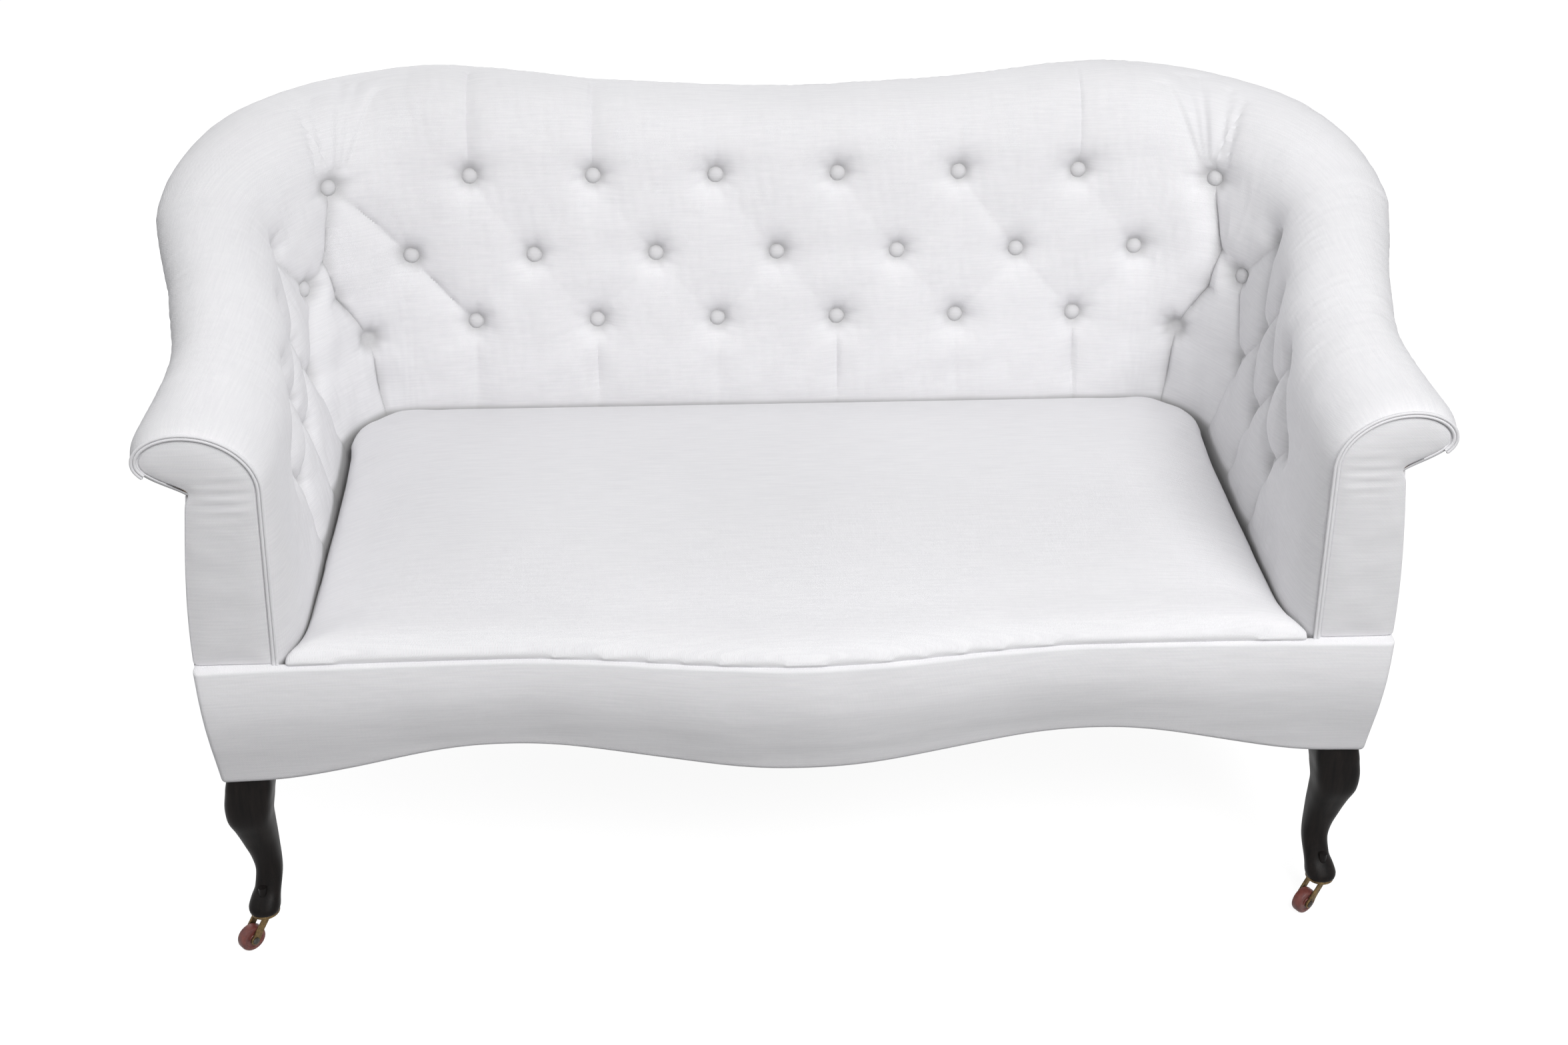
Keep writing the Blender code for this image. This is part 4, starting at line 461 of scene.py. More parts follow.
FOLDS = cloth_folds()
ALL_PITS = [(side * a, v) for side in (-1, 1) for a, v in RIGHT_BUTTONS + [CORNER_PIT] if side > 0 or a > 0]
PIT_DEPTH = 0.025
PIT_FLOOR = 0.0080
PIT_REACH = 0.0150
VALLEY_REACH = 0.021
CREASE_WIDTH = 0.0026
CREASE_SLACK = 0.0080


def soft_waves(a, s, seed, lengths, count):
    """Smooth random waviness of about unit height, the same on every run."""
    random = np.random.default_rng(seed)
    total = np.zeros(np.broadcast(a, s).shape)
    for _ in range(count):
        length = random.uniform(*lengths)
        heading = random.uniform(0, math.pi)
        total += np.sin(2 * math.pi * (a * math.cos(heading) + s * math.sin(heading)) / length
                        + random.uniform(0, 2 * math.pi))
    return total / math.sqrt(count)


def drawn_in(along, v):
    """How far buttons, folds and slack draw the cloth in at each point."""
    s = girth(along, v)
    low_a, high_a = np.min(along) - 0.07, np.max(along) + 0.07
    valleys = np.zeros(along.shape)
    creases = np.zeros(along.shape)
    for (a0, v0), (a1, v1), depth, sharpness, fade in FOLDS:
        if max(a0, a1) < low_a or min(a0, a1) > high_a:
            continue
        s0, s1 = float(girth(a0, v0)), float(girth(a1, v1))
        da, ds = a1 - a0, s1 - s0
        length = math.hypot(da, ds)
        share = np.clip(((along - a0) * da + (s - s0) * ds) / length ** 2, 0, 1)
        across_a, across_s = along - a0 - share * da, s - s0 - share * ds
        distance = np.hypot(across_a, across_s)
        upper = across_s > 0 if abs(da) > 0.012 else across_a * a0 > 0
        kept = 1 - fade * share
        valleys += (depth * 1.2 * kept * np.exp(-(distance / VALLEY_REACH) ** 1.6)) ** 3
        width = np.where(upper, CREASE_WIDTH, CREASE_SLACK)
        creases = np.maximum(creases, depth * 0.75 * sharpness * kept * np.exp(-distance / width))
    pits = np.zeros(along.shape)
    rays = np.zeros(along.shape)
    random = np.random.default_rng(7)
    for a0, v0 in ALL_PITS:
        pull, start = random.integers(6, 10), random.uniform(0, 6)
        if not low_a < a0 < high_a:
            continue
        s0 = float(girth(a0, v0))
        distance = np.hypot(along - a0, s - s0)
        bearing = np.arctan2(s - s0, along - a0)
        pits = np.maximum(pits, PIT_DEPTH * np.exp(-(np.maximum(distance - PIT_FLOOR, 0) / PIT_REACH) ** 1.1))
        rays += 0.0007 * np.cos(pull * bearing + start) * np.exp(-((distance - 0.020) / 0.010) ** 2)
    sink = (valleys + pits ** 3) ** (1 / 3) + creases * np.clip(1 - pits / PIT_DEPTH, 0, 1) + rays
    sink += 0.0006 * soft_waves(along, s, 11, (0.045, 0.13), 26) * (0.4 + np.clip(1.6 - v, 0, 1))
    return sink + 0.0003 * soft_waves(along * 2.2, s * 0.6, 12, (0.02, 0.05), 22)


ARM_NOSE = 0.040
ARM_NOSE_FOOT = 0.100
NOSE_PROUD = 0.005
SEAT_LINE_Z = (0.372, 0.396)


def facing_inset(v):
    return 0.028 + (0.013 - 0.028) * np.minimum(v, 1.0)


def nose_rounding(along, v):
    """How far an arm pad falls back to its facing: in a long curve at the seat, in a short one above."""
    length = ARM_NOSE + (ARM_NOSE_FOOT - ARM_NOSE) * np.clip(1 - v, 0, 1) ** 2
    nose = np.clip((np.abs(along) - (ARM_END + NOSE_PROUD - length)) / length, 0, 1)
    return (facing_inset(v) - 0.001) * (1 - np.sqrt(1 - nose ** 2))


def eased(x, start, stop):
    """Smooth rise from 0 at start to 1 at stop; start may be the larger."""
    share = np.clip((x - start) / (stop - start), 0, 1)
    return share * share * (3 - 2 * share)


def pad_surface(along, v, sink):
    """Outer surface of the inside pads, rounded over at the arms' fronts to meet the facings."""
    plain = np.clip((ARM_END - 0.060 - np.abs(along)) / 0.050, 0.12, 1)
    pressed = 0.2 + 0.8 * eased(v, 0.10, 0.24)
    return tub_point(along, v, sink * plain * pressed + nose_rounding(along, v))


def pad_painted_shade(surface, sink):
    """Painted shade in a pad's cloth, 0 to 1: at the buttons, in the folds, and where it goes down behind the seat.
    """
    rear_share = np.clip((surface[..., 1] - ARM_FRONT_Y) / (BACK_FACE_Y - ARM_FRONT_Y), 0, 1)
    seat_line = SEAT_LINE_Z[0] + (SEAT_LINE_Z[1] - SEAT_LINE_Z[0]) * rear_share
    return np.maximum(0.55 * eased(sink, 0.0095, 0.026), eased(surface[..., 2] - seat_line, 0.008, -0.003))


def cloth_object(name, points, faces, uvs, material, sharp=math.radians(50), painted_shade=None):
    """Closed cloth-covered piece with its thread directions in metres as the map called cloth."""
    mesh = bpy.data.meshes.new(name)
    mesh.from_pydata([tuple(p) for p in points], [], faces)
    shape = bmesh.new()
    shape.from_mesh(mesh)
    bmesh.ops.recalc_face_normals(shape, faces=shape.faces)
    shape.to_mesh(mesh)
    shape.free()
    layer = mesh.uv_layers.new(name="cloth")
    corner_points = np.empty(len(mesh.loops), int)
    mesh.loops.foreach_get("vertex_index", corner_points)
    layer.data.foreach_set("uv", np.asarray(uvs, float)[corner_points].ravel())
    # An optional painted shade, 0 to 1 at each point, kept as an attribute that darkens the linen.
    if painted_shade is not None:
        mesh.attributes.new("painted_shade", "FLOAT", "POINT").data.foreach_set("value", np.array(painted_shade, np.float32))
    mesh.materials.append(material)
    mesh.shade_smooth()
    mesh.set_sharp_from_angle(angle=sharp)
    piece = bpy.data.objects.new(name, mesh)
    bpy.context.scene.collection.objects.link(piece)
    return piece


def shell_grid(front, rear, step):
    """Points and faces of a closed body: a fine front, a rear of every step-th line, walls between."""
    rows, columns = front.shape[:2]
    row_marks = list(range(0, rows - 1, step)) + [rows - 1]
    column_marks = list(range(0, columns - 1, step)) + [columns - 1]
    count = rows * columns
    wide = len(column_marks)
    faces = []
    base = (np.arange(rows - 1)[:, None] * columns + np.arange(columns - 1)[None, :]).ravel()
    quads = np.stack([base, base + 1, base + columns + 1, base + columns], axis=1)
    faces += [tuple(int(i) for i in quad) for quad in quads]
    for j in range(len(row_marks) - 1):
        for i in range(wide - 1):
            a = count + j * wide + i
            faces.append((a, a + wide, a + wide + 1, a + 1))
    for j, row in ((0, 0), (len(row_marks) - 1, rows - 1)):
        for i in range(wide - 1):
            edge = [row * columns + c for c in range(column_marks[i], column_marks[i + 1] + 1)]
            faces.append(tuple(edge) + (count + j * wide + i + 1, count + j * wide + i))
    for i, column in ((0, 0), (wide - 1, columns - 1)):
        for j in range(len(row_marks) - 1):
            edge = [r * columns + column for r in range(row_marks[j], row_marks[j + 1] + 1)]
            faces.append(tuple(edge) + (count + (j + 1) * wide + i, count + j * wide + i))
    rear_part = rear[np.ix_(row_marks, column_marks)].reshape(-1, rear.shape[-1])
    return np.concatenate([front.reshape(-1, front.shape[-1]), rear_part]), faces


def cloth_place(tree):
    """A cloth's own coordinates, in metres along its threads."""
    cloth_map = tree.nodes.new("ShaderNodeUVMap")
    cloth_map.uv_map = "cloth"
    return cloth_map.outputs["UV"]


def weave_height(tree, place, pitch):
    """Height of a plain weave, its threads one pitch apart both ways."""
    split = tree.nodes.new("ShaderNodeSeparateXYZ")
    tree.links.new(place, split.inputs[0])
    threads = [math_node(tree, "SINE", math_node(tree, "MULTIPLY", split.outputs[axis], math.pi / pitch))
               for axis in range(2)]
    return math_node(tree, "MULTIPLY", *threads)


def linen(name):
    """Plain-woven off-white cloth: threads both ways, slubs along both, and painted shade in the pits, folds and
    crevices, read from a point attribute.
    """
    material, tree, shader = new_material(name, 0.88)
    place = cloth_place(tree)
    weave = weave_height(tree, place, THREAD_PITCH)
    slubs = noise(tree, stretched(tree, place, (22.0, 480.0, 1.0)), 1.0, 2.0)
    warp_slubs = noise(tree, stretched(tree, place, (420.0, 18.0, 1.0)), 1.0, 2.0)
    tone = noise(tree, object_place(tree), 3.2, 3.0)
    shades = colour_ramp(tree, tone, ((0.30, [c * 0.965 for c in LINEN_COLOUR]),
                                      (0.70, [c * 1.015 for c in LINEN_COLOUR])))
    streak = tree.nodes.new("ShaderNodeMix")
    streak.data_type = "RGBA"
    streak.blend_type = "MULTIPLY"
    streak.inputs["Factor"].default_value = 1.0
    tree.links.new(shades, streak.inputs["A"])
    slub_tone = colour_ramp(tree, slubs, ((0.35, (0.955, 0.955, 0.96)), (0.65, (1.0, 1.0, 1.0))))
    tree.links.new(slub_tone, streak.inputs["B"])
    # Painted shade: a point attribute mixes the cloth towards this grey where buttons, folds and crevices lie in
    # shadow.
    painted_shade = tree.nodes.new("ShaderNodeAttribute")
    painted_shade.attribute_name = "painted_shade"
    painted_shade_mix = tree.nodes.new("ShaderNodeMix")
    painted_shade_mix.data_type = "RGBA"
    painted_shade_mix.blend_type = "MULTIPLY"
    painted_shade_mix.inputs["B"].default_value = (0.50, 0.50, 0.49, 1.0)
    tree.links.new(painted_shade.outputs["Fac"], painted_shade_mix.inputs["Factor"])
    tree.links.new(streak.outputs["Result"], painted_shade_mix.inputs["A"])
    tree.links.new(painted_shade_mix.outputs["Result"], shader.inputs["Base Color"])
    first = bump(tree, shader, weave, 0.00025, 0.55)
    second = bump(tree, shader, slubs, 0.0005, 0.35, first)
    bump(tree, shader, warp_slubs, 0.0004, 0.20, second)
    shader.inputs["Sheen Weight"].default_value = 0.12
    shader.inputs["Sheen Roughness"].default_value = 0.5
    shader.inputs["Specular IOR Level"].default_value = 0.25
    return material


THREAD_PITCH = 0.00085
LINEN_COLOUR = (0.840, 0.834, 0.850)
COVER_LINEN = linen("linen_cover")
CLOTH_PITCH = 0.0029
SEAM_EASE = 0.11
SEAM_HAIR = 0.00002


def spread(breaks, pitch):
    """Lines through all the breaks, about one pitch apart."""
    lines = [breaks[0]]
    for a, b in zip(breaks[:-1], breaks[1:]):
        pieces = max(1, round((b - a) / pitch))
        lines += [a + (b - a) * k / pieces for k in range(1, pieces + 1)]
    return np.array(lines)


def tufted_pad(node, alongs):
    """One tufted pad between two places along the tub."""
    lengths = [GIRTH[60, 100 * (k + 1)] - GIRTH[60, 100 * k] for k in range(4)]
    rows = np.concatenate([np.linspace(k, k + 1, round(lengths[k] / CLOTH_PITCH) + 1)[(1 if k else 0):]
                           for k in range(4)])
    grid_a, grid_v = np.meshgrid(alongs, rows)
    near_seam = np.clip(1 - np.abs(np.abs(grid_a) - CORNER_SEAM) / SEAM_EASE, 0, 1)
    grid_a = grid_a + np.sign(grid_a) * (corner_line(grid_v) - CORNER_SEAM) * near_seam
    sink = drawn_in(grid_a, grid_v)
    surface = pad_surface(grid_a, grid_v, sink)
    # The cloth map's third column is each point's painted shade.
    cloth_map = np.stack([grid_a, girth(grid_a, grid_v), pad_painted_shade(surface, sink)], axis=-1)
    front = np.concatenate([surface, cloth_map], axis=-1)
    held_a = np.clip(grid_a, -ARM_END, ARM_END)
    rear = np.concatenate([tub_point(held_a, grid_v, pad_depth(grid_v) - 0.0006), cloth_map], axis=-1)
    points, faces = shell_grid(front, rear, 8)
    pad = cloth_object(node + "_cloth", points[:, :3], faces, points[:, 3:5], COVER_LINEN, painted_shade=points[:, 5])
    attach(pad, "sofa")
    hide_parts(node)


seam_edge = CORNER_SEAM - SEAM_HAIR
tufted_pad("inside_back", spread(sorted(set([-seam_edge, seam_edge] + [a for a, v in BACK_BUTTONS]
                                            + [-a for a, v in BACK_BUTTONS])), CLOTH_PITCH))
nose_start = ARM_END + NOSE_PROUD - ARM_NOSE
arm_run = spread(sorted(set([CORNER_SEAM + SEAM_HAIR, nose_start] + [a for a, v in ARM_BUTTONS])), CLOTH_PITCH)
nose_run = nose_start + ARM_NOSE * np.sin(np.linspace(0, math.pi / 2, 16))[1:]
arm_lines = np.concatenate([arm_run, nose_run])
tufted_pad("inside_arm_right", arm_lines)
tufted_pad("inside_arm_left", -arm_lines[::-1])

# Covered buttons
# Domed tin moulds covered in the same cloth, gathered at the rim. Twine through the stuffing holds
# each one down in its pit.
BUTTON_RADIUS = 0.0110
BUTTON_PROFILE = ((0.0, 0.0058), (0.0035, 0.0055), (0.0066, 0.0044), (0.0092, 0.0024), (0.0108, 0.0004),
                  (0.0110, -0.0012), (0.0098, -0.0028), (0.0060, -0.0034), (0.0, -0.0034))
BUTTON_SIDES = 20
BUTTON_PROUD = 0.0015


def button_blank():
    """One covered button facing up at the origin, its rim puckered where the cloth is gathered."""
    points = [(0.0, 0.0, BUTTON_PROFILE[0][1])]
    for radius, height in BUTTON_PROFILE[1:-1]:
        for k in range(BUTTON_SIDES):
            angle = 2 * math.pi * k / BUTTON_SIDES
            pucker = 1 - 0.022 * (k % 2) * (radius / BUTTON_RADIUS) ** 4
            points.append((radius * pucker * math.cos(angle), radius * pucker * math.sin(angle), height))
    points.append((0.0, 0.0, BUTTON_PROFILE[-1][1]))
    rings = len(BUTTON_PROFILE) - 2
    faces = [(0, 1 + k, 1 + (k + 1) % BUTTON_SIDES) for k in range(BUTTON_SIDES)]
    for ring in range(rings - 1):
        for k in range(BUTTON_SIDES):
            a, b = 1 + ring * BUTTON_SIDES + k, 1 + ring * BUTTON_SIDES + (k + 1) % BUTTON_SIDES
            faces.append((a, a + BUTTON_SIDES, b + BUTTON_SIDES, b))
    last = 1 + (rings - 1) * BUTTON_SIDES
    faces += [(last + (k + 1) % BUTTON_SIDES, last + k, len(points) - 1) for k in range(BUTTON_SIDES)]
    uvs = [(x, y) for x, y, z in points]
    # Painted shade on each button: its face a little darker all over, and darker towards the rim where it sits in the
    # pit.
    rim_painted_shade = [0.30 + 0.35 * (math.hypot(x, y) / BUTTON_RADIUS) ** 3 for x, y, z in points]
    return cloth_object("button_blank", points, faces, uvs, COVER_LINEN, painted_shade=rim_painted_shade)


def repeat_tree(name):
    """Geometry Nodes tree that sets one object on every point, turned to the point's two stored vectors."""
    tree = bpy.data.node_groups.new(name, "GeometryNodeTree")
    tree.interface.new_socket("Geometry", in_out="INPUT", socket_type="NodeSocketGeometry")
    tree.interface.new_socket("Geometry", in_out="OUTPUT", socket_type="NodeSocketGeometry")
    for label, kind in (("Piece", "NodeSocketObject"), ("Finish", "NodeSocketMaterial")):
        tree.interface.new_socket(label, in_out="INPUT", socket_type=kind)
    nodes, links = tree.nodes, tree.links
    given = nodes.new("NodeGroupInput")
    shape = nodes.new("GeometryNodeObjectInfo")
    links.new(given.outputs["Piece"], shape.inputs["Object"])
    aligned = []
    for label, axis in (("facing", "Z"), ("leading", "X")):
        stored = nodes.new("GeometryNodeInputNamedAttribute")
        stored.data_type = "FLOAT_VECTOR"
        stored.inputs["Name"].default_value = label
        align = nodes.new("FunctionNodeAlignRotationToVector")
        align.axis = axis
        links.new(stored.outputs["Attribute"], align.inputs["Vector"])
        aligned.append(align)
    face, lead = aligned
    lead.pivot_axis = "Z"
    links.new(face.outputs["Rotation"], lead.inputs["Rotation"])
    place = nodes.new("GeometryNodeInstanceOnPoints")
    links.new(given.outputs["Geometry"], place.inputs["Points"])
    links.new(shape.outputs["Geometry"], place.inputs["Instance"])
    links.new(lead.outputs["Rotation"], place.inputs["Rotation"])
    real = nodes.new("GeometryNodeRealizeInstances")
    links.new(place.outputs["Instances"], real.inputs["Geometry"])
    finish = nodes.new("GeometryNodeSetMaterial")
    links.new(real.outputs["Geometry"], finish.inputs["Geometry"])
    links.new(given.outputs["Finish"], finish.inputs["Material"])
    out = nodes.new("NodeGroupOutput")
    links.new(finish.outputs["Geometry"], out.inputs["Geometry"])
    return tree


REPEAT = repeat_tree("set_on_points")


def applied(piece):
    """New mesh of an object as its modifiers leave it."""
    graph = bpy.context.evaluated_depsgraph_get()
    return bpy.data.meshes.new_from_object(piece.evaluated_get(graph))


def set_on_points(name, blank, places, facings, leadings, material):
    """Object whose mesh is one blank repeated on points. The blank stays, and the caller removes it."""
    carrier_mesh = bpy.data.meshes.new(name + "_points")
    carrier_mesh.from_pydata([tuple(p) for p in places], [], [])
    for label, values in (("facing", facings), ("leading", leadings)):
        stored = carrier_mesh.attributes.new(label, "FLOAT_VECTOR", "POINT")
        stored.data.foreach_set("vector", np.asarray(values, float).ravel())
    carrier = bpy.data.objects.new(name + "_points", carrier_mesh)
    bpy.context.scene.collection.objects.link(carrier)
    repeat = carrier.modifiers.new("repeat", "NODES")
    repeat.node_group = REPEAT
    sockets = {item.name: item.identifier for item in REPEAT.interface.items_tree if item.in_out == "INPUT"}
    repeat[sockets["Piece"]] = blank
    repeat[sockets["Finish"]] = material
    mesh = applied(carrier)
    mesh.name = name
    bpy.data.objects.remove(carrier, do_unlink=True)
    piece = bpy.data.objects.new(name, mesh)
    bpy.context.scene.collection.objects.link(piece)
    return piece


button = button_blank()
for word, button_list in (("back", BACK_BUTTONS + [(-a, v) for a, v in BACK_BUTTONS if a > 0]),
                          ("arm_right", ARM_BUTTONS), ("arm_left", [(-a, v) for a, v in ARM_BUTTONS])):
    along_list = np.array([a for a, v in button_list])
    v_list = np.array([v for a, v in button_list])
    depth_list = drawn_in(along_list, v_list) - BUTTON_PROUD
    seats = tub_point(along_list, v_list, depth_list)
    facings = seats - tub_point(along_list, v_list, depth_list + 0.01)
    _, _, out_x, out_y = plan(along_list)
    leadings = np.stack([out_y, -out_x, np.zeros(len(out_x))], axis=-1)
    sewn = set_on_points("covered_buttons_" + word, button, seats, facings, leadings, COVER_LINEN)
    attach(sewn, "sofa")
bpy.data.objects.remove(button, do_unlink=True)

# Arm facings
# A thin board in the scroll's outline, padded with felt and covered in the same cloth, pinned over
# the front of each arm. Its edge is pulled smooth, and the cloth creases faintly across the waist.
COVER_BOTTOM_Z = 0.2265
COVER_OFFSET = 0.104
SEAM_Z = 0.377
FACING_LOW_Z = SEAM_Z - 0.0012
FACING_BACK_Y = ARM_FRONT_Y - GAP + ORIGIN_SHIFT_Y
FACING_EDGE = 0.0056
FACING_FELT = 0.0032
FACING_ROUND = 0.0028
WAIST_X = 0.602
WAIST_Z = 0.585
WAIST_REACH = 0.030
WAIST_CREASE_PITCH = 0.0135


def panel_point(along, w, depth):
    """Point under the outside covers, w running 0 at the roll to 1 at the bottom edge."""
    top, *_, under = station(along)
    start_z = top - ROLL_DROP_UNDER - 0.0035
    height = start_z + (COVER_BOTTOM_Z - start_z) * w
    offset = under + (COVER_OFFSET - under) * w + 0.012 * np.sin(math.pi * w) - depth
    base_x, base_y, out_x, out_y = plan(along)
    return np.stack([base_x + offset * out_x, base_y + offset * out_y, height], axis=-1)


def even_loop(points, pitch, smoothing):
    """Closed line resampled at an even pitch with its corners eased."""
    points = np.asarray(points, float)
    closed = np.vstack([points, points[:1]])
    run = np.concatenate([[0], np.cumsum(np.hypot(*np.diff(closed, axis=0).T))])
    count = int(round(run[-1] / pitch))
    at = np.linspace(0, run[-1], count, endpoint=False)
    loop = np.stack([np.interp(at, run, closed[:, k]) for k in range(2)], axis=1)
    for _ in range(smoothing):
        loop = (np.roll(loop, 1, axis=0) + 2 * loop + np.roll(loop, -1, axis=0)) / 4
    return loop


def outward(loop):
    """Unit outward directions of a closed flat line."""
    ahead_of = np.roll(loop, -1, axis=0) - np.roll(loop, 1, axis=0)
    ahead_of /= np.hypot(*ahead_of.T)[:, None]
    area = np.sum(loop[:, 0] * np.roll(loop[:, 1], -1) - np.roll(loop[:, 0], -1) * loop[:, 1])
    return np.stack([ahead_of[:, 1], -ahead_of[:, 0]], axis=1) * math.copysign(1, area)


def filled(loop, pitch, margin):
    """Triangles over the inside of a closed flat line: points with the loop first, and faces."""
    low, high = loop.min(0), loop.max(0)
    xs, ys = np.meshgrid(np.arange(low[0], high[0], pitch), np.arange(low[1], high[1], pitch * 0.87))
    xs = xs + (np.arange(xs.shape[0]) % 2)[:, None] * pitch / 2
    inside = np.stack([xs.ravel(), ys.ravel()], axis=1)
    inside = inside[edge_distance(inside, loop) > margin]
    points = np.vstack([loop, inside])
    count = len(loop)
    edges = [(k, (k + 1) % count) for k in range(count)]
    made = delaunay_2d_cdt([Vector(p) for p in points], edges, [], 1, 1e-7)
    return np.array([tuple(p) for p in made[0]]), [tuple(face) for face in made[2]]


def edge_distance(points, loop):
    """Distance of each point inside a closed flat line to it; below nought outside."""
    start, stop = loop, np.roll(loop, -1, axis=0)
    best = np.full(len(points), 1e9)
    crossings = np.zeros(len(points), int)
    for (x0, y0), (x1, y1) in zip(start, stop):
        dx, dy = x1 - x0, y1 - y0
        share = np.clip(((points[:, 0] - x0) * dx + (points[:, 1] - y0) * dy) / (dx * dx + dy * dy), 0, 1)
        best = np.minimum(best, np.hypot(points[:, 0] - x0 - share * dx, points[:, 1] - y0 - share * dy))
        spans = (y0 > points[:, 1]) != (y1 > points[:, 1])
        if dy:
            crossings += spans & (points[:, 0] < x0 + (points[:, 1] - y0) * dx / dy)
    return np.where(crossings % 2 == 1, best, -best)


def facing_outline():
    """The right facing's outline in (x, z), from the seat up the inner edge, round the scroll and down."""
    vs = np.linspace(0.02, 4, 400)
    inner = tub_point(np.full(vs.shape, ARM_END), vs, facing_inset(vs))[:, [0, 2]]
    ws = np.linspace(0, 1, 120)
    outer = panel_point(np.full(ws.shape, ARM_END), ws, 0.001)[:, [0, 2]]
    line = np.vstack([inner, outer])
    line = line[line[:, 1] > FACING_LOW_Z]
    line = np.vstack([[line[0][0], FACING_LOW_Z], line, [line[-1][0], FACING_LOW_Z]])
    return even_loop(line, 0.0028, 4)


def ring_faces(rings, sides):
    """Quads between a row of rings that all have the same number of points."""
    faces = []
    for j in range(rings - 1):
        for k in range(sides):
            a, b = j * sides + k, j * sides + (k + 1) % sides
            faces.append((a, b, b + sides, a + sides))
    return faces


def end_fans(rings, sides):
    """Triangles that close a row of rings on two middle points, which follow the last ring."""
    last, middle = (rings - 1) * sides, rings * sides
    return ([((k + 1) % sides, k, middle) for k in range(sides)]
            + [(last + k, last + (k + 1) % sides, middle + 1) for k in range(sides)])


def capped_body(loop, rings, cap_pitch, cap_height):
    """Body over a flat line: rings of (inset, height), closed by a flat rear and a shaped cap."""
    normals = outward(loop)
    count = len(loop)
    levels = [loop - normals * inset for inset, _ in rings]
    flat, cap_faces = filled(levels[-1], cap_pitch, cap_pitch * 0.45)
    match = [int(np.argmin(np.hypot(*(flat - p).T))) for p in levels[-1]]
    points = np.vstack([np.column_stack([level, np.full(count, height)])
                        for level, (_, height) in zip(levels, rings)])
    depth = np.maximum(edge_distance(flat, levels[-1]), 0) + rings[-1][0]
    cap = np.column_stack([flat, cap_height(flat, depth)])
    start = len(points) - count
    renumber = {index: start + k for k, index in enumerate(match)}
    extra = [index for index in range(len(flat)) if index not in renumber]
    for k, index in enumerate(extra):
        renumber[index] = len(points) + k
    points = np.vstack([points, cap[extra]])
    faces = [tuple(range(count))] + ring_faces(len(rings), count)
    faces += [tuple(renumber[index] for index in face) for face in cap_faces]
    return points, faces


FACING_LOOP = facing_outline()
edge_turns = np.linspace(0, math.pi / 2, 5)
FACING_RINGS = [(0.0, 0.0)] + [(FACING_ROUND * (1 - math.cos(t)),
                                FACING_EDGE - FACING_ROUND + FACING_ROUND * math.sin(t)) for t in edge_turns]


def facing_crown(flat, depth):
    """Height of a facing's cover: domed by its felt, creased faintly across the waist."""
    waist = (np.exp(-((flat[:, 1] - WAIST_Z) / WAIST_REACH) ** 2)
             * np.exp(-((flat[:, 0] - WAIST_X) / WAIST_REACH) ** 2))
    creases = 0.0007 * waist * np.sin(2 * math.pi * flat[:, 1] / WAIST_CREASE_PITCH)
    return (FACING_EDGE + FACING_FELT * (1 - np.exp(-(depth - FACING_ROUND) / 0.011)) + creases
            + 0.0004 * soft_waves(flat[:, 0], flat[:, 1], 21, (0.03, 0.09), 14))


facing_points, facing_faces = capped_body(FACING_LOOP, FACING_RINGS, 0.0042, facing_crown)
for side, word in ((1, "right"), (-1, "left")):
    placed = np.column_stack([side * facing_points[:, 0], FACING_BACK_Y - facing_points[:, 2], facing_points[:, 1]])
    facing = cloth_object("arm_facing_" + word + "_cloth", placed, facing_faces, placed[:, [0, 2]], COVER_LINEN)
    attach(facing, "sofa")
    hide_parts("arm_facing_" + word)

# Double welt
# Two fine cords wrapped side by side in one strip of the cover, glued up the inner edge of each
# facing and over the scroll to its tip.
WELT_RADIUS = 0.00185
WELT_Y = ARM_FRONT_Y + ORIGIN_SHIFT_Y - 0.0064


def tube(path, radius, sides):
    """Points, faces and cloth map of a round cord along a path, its ends closed."""
    path = np.asarray(path, float)
    ahead_of = np.gradient(path, axis=0)
    ahead_of /= np.linalg.norm(ahead_of, axis=1)[:, None]
    side_way = np.cross(ahead_of, np.array([0.0, 0.0, 1.0]))
    weak = np.linalg.norm(side_way, axis=1) < 0.2
    side_way[weak] = np.cross(ahead_of[weak], np.array([0.0, 1.0, 0.0]))
    for k in range(1, len(path)):
        carried = side_way[k - 1] - ahead_of[k] * np.dot(side_way[k - 1], ahead_of[k])
        side_way[k] = carried / np.linalg.norm(carried)
    side_way[0] /= np.linalg.norm(side_way[0])
    lift_way = np.cross(side_way, ahead_of)
    angles = 2 * math.pi * np.arange(sides) / sides
    rings = (path[:, None, :] + radius * (np.cos(angles)[None, :, None] * side_way[:, None, :]
                                          + np.sin(angles)[None, :, None] * lift_way[:, None, :]))
    run = np.concatenate([[0], np.cumsum(np.linalg.norm(np.diff(path, axis=0), axis=1))])
    uvs = np.stack(np.broadcast_arrays(run[:, None], radius * angles[None, :]), axis=-1).reshape(-1, 2)
    points = np.vstack([rings.reshape(-1, 3), path[0] - ahead_of[0] * radius * 0.6,
                        path[-1] + ahead_of[-1] * radius * 0.6])
    uvs = np.vstack([uvs, [run[0], 0], [run[-1], 0]])
    return points, ring_faces(len(path), sides) + end_fans(len(path), sides), uvs


def joined(parts):
    """Several bodies' points, faces and maps as one."""
    points, faces, uvs = [], [], []
    count = 0
    for part_points, part_faces, part_uvs in parts:
        points.append(part_points)
        uvs.append(part_uvs)
        faces += [tuple(index + count for index in face) for face in part_faces]
        count += len(part_points)
    return np.vstack(points), faces, np.vstack(uvs)


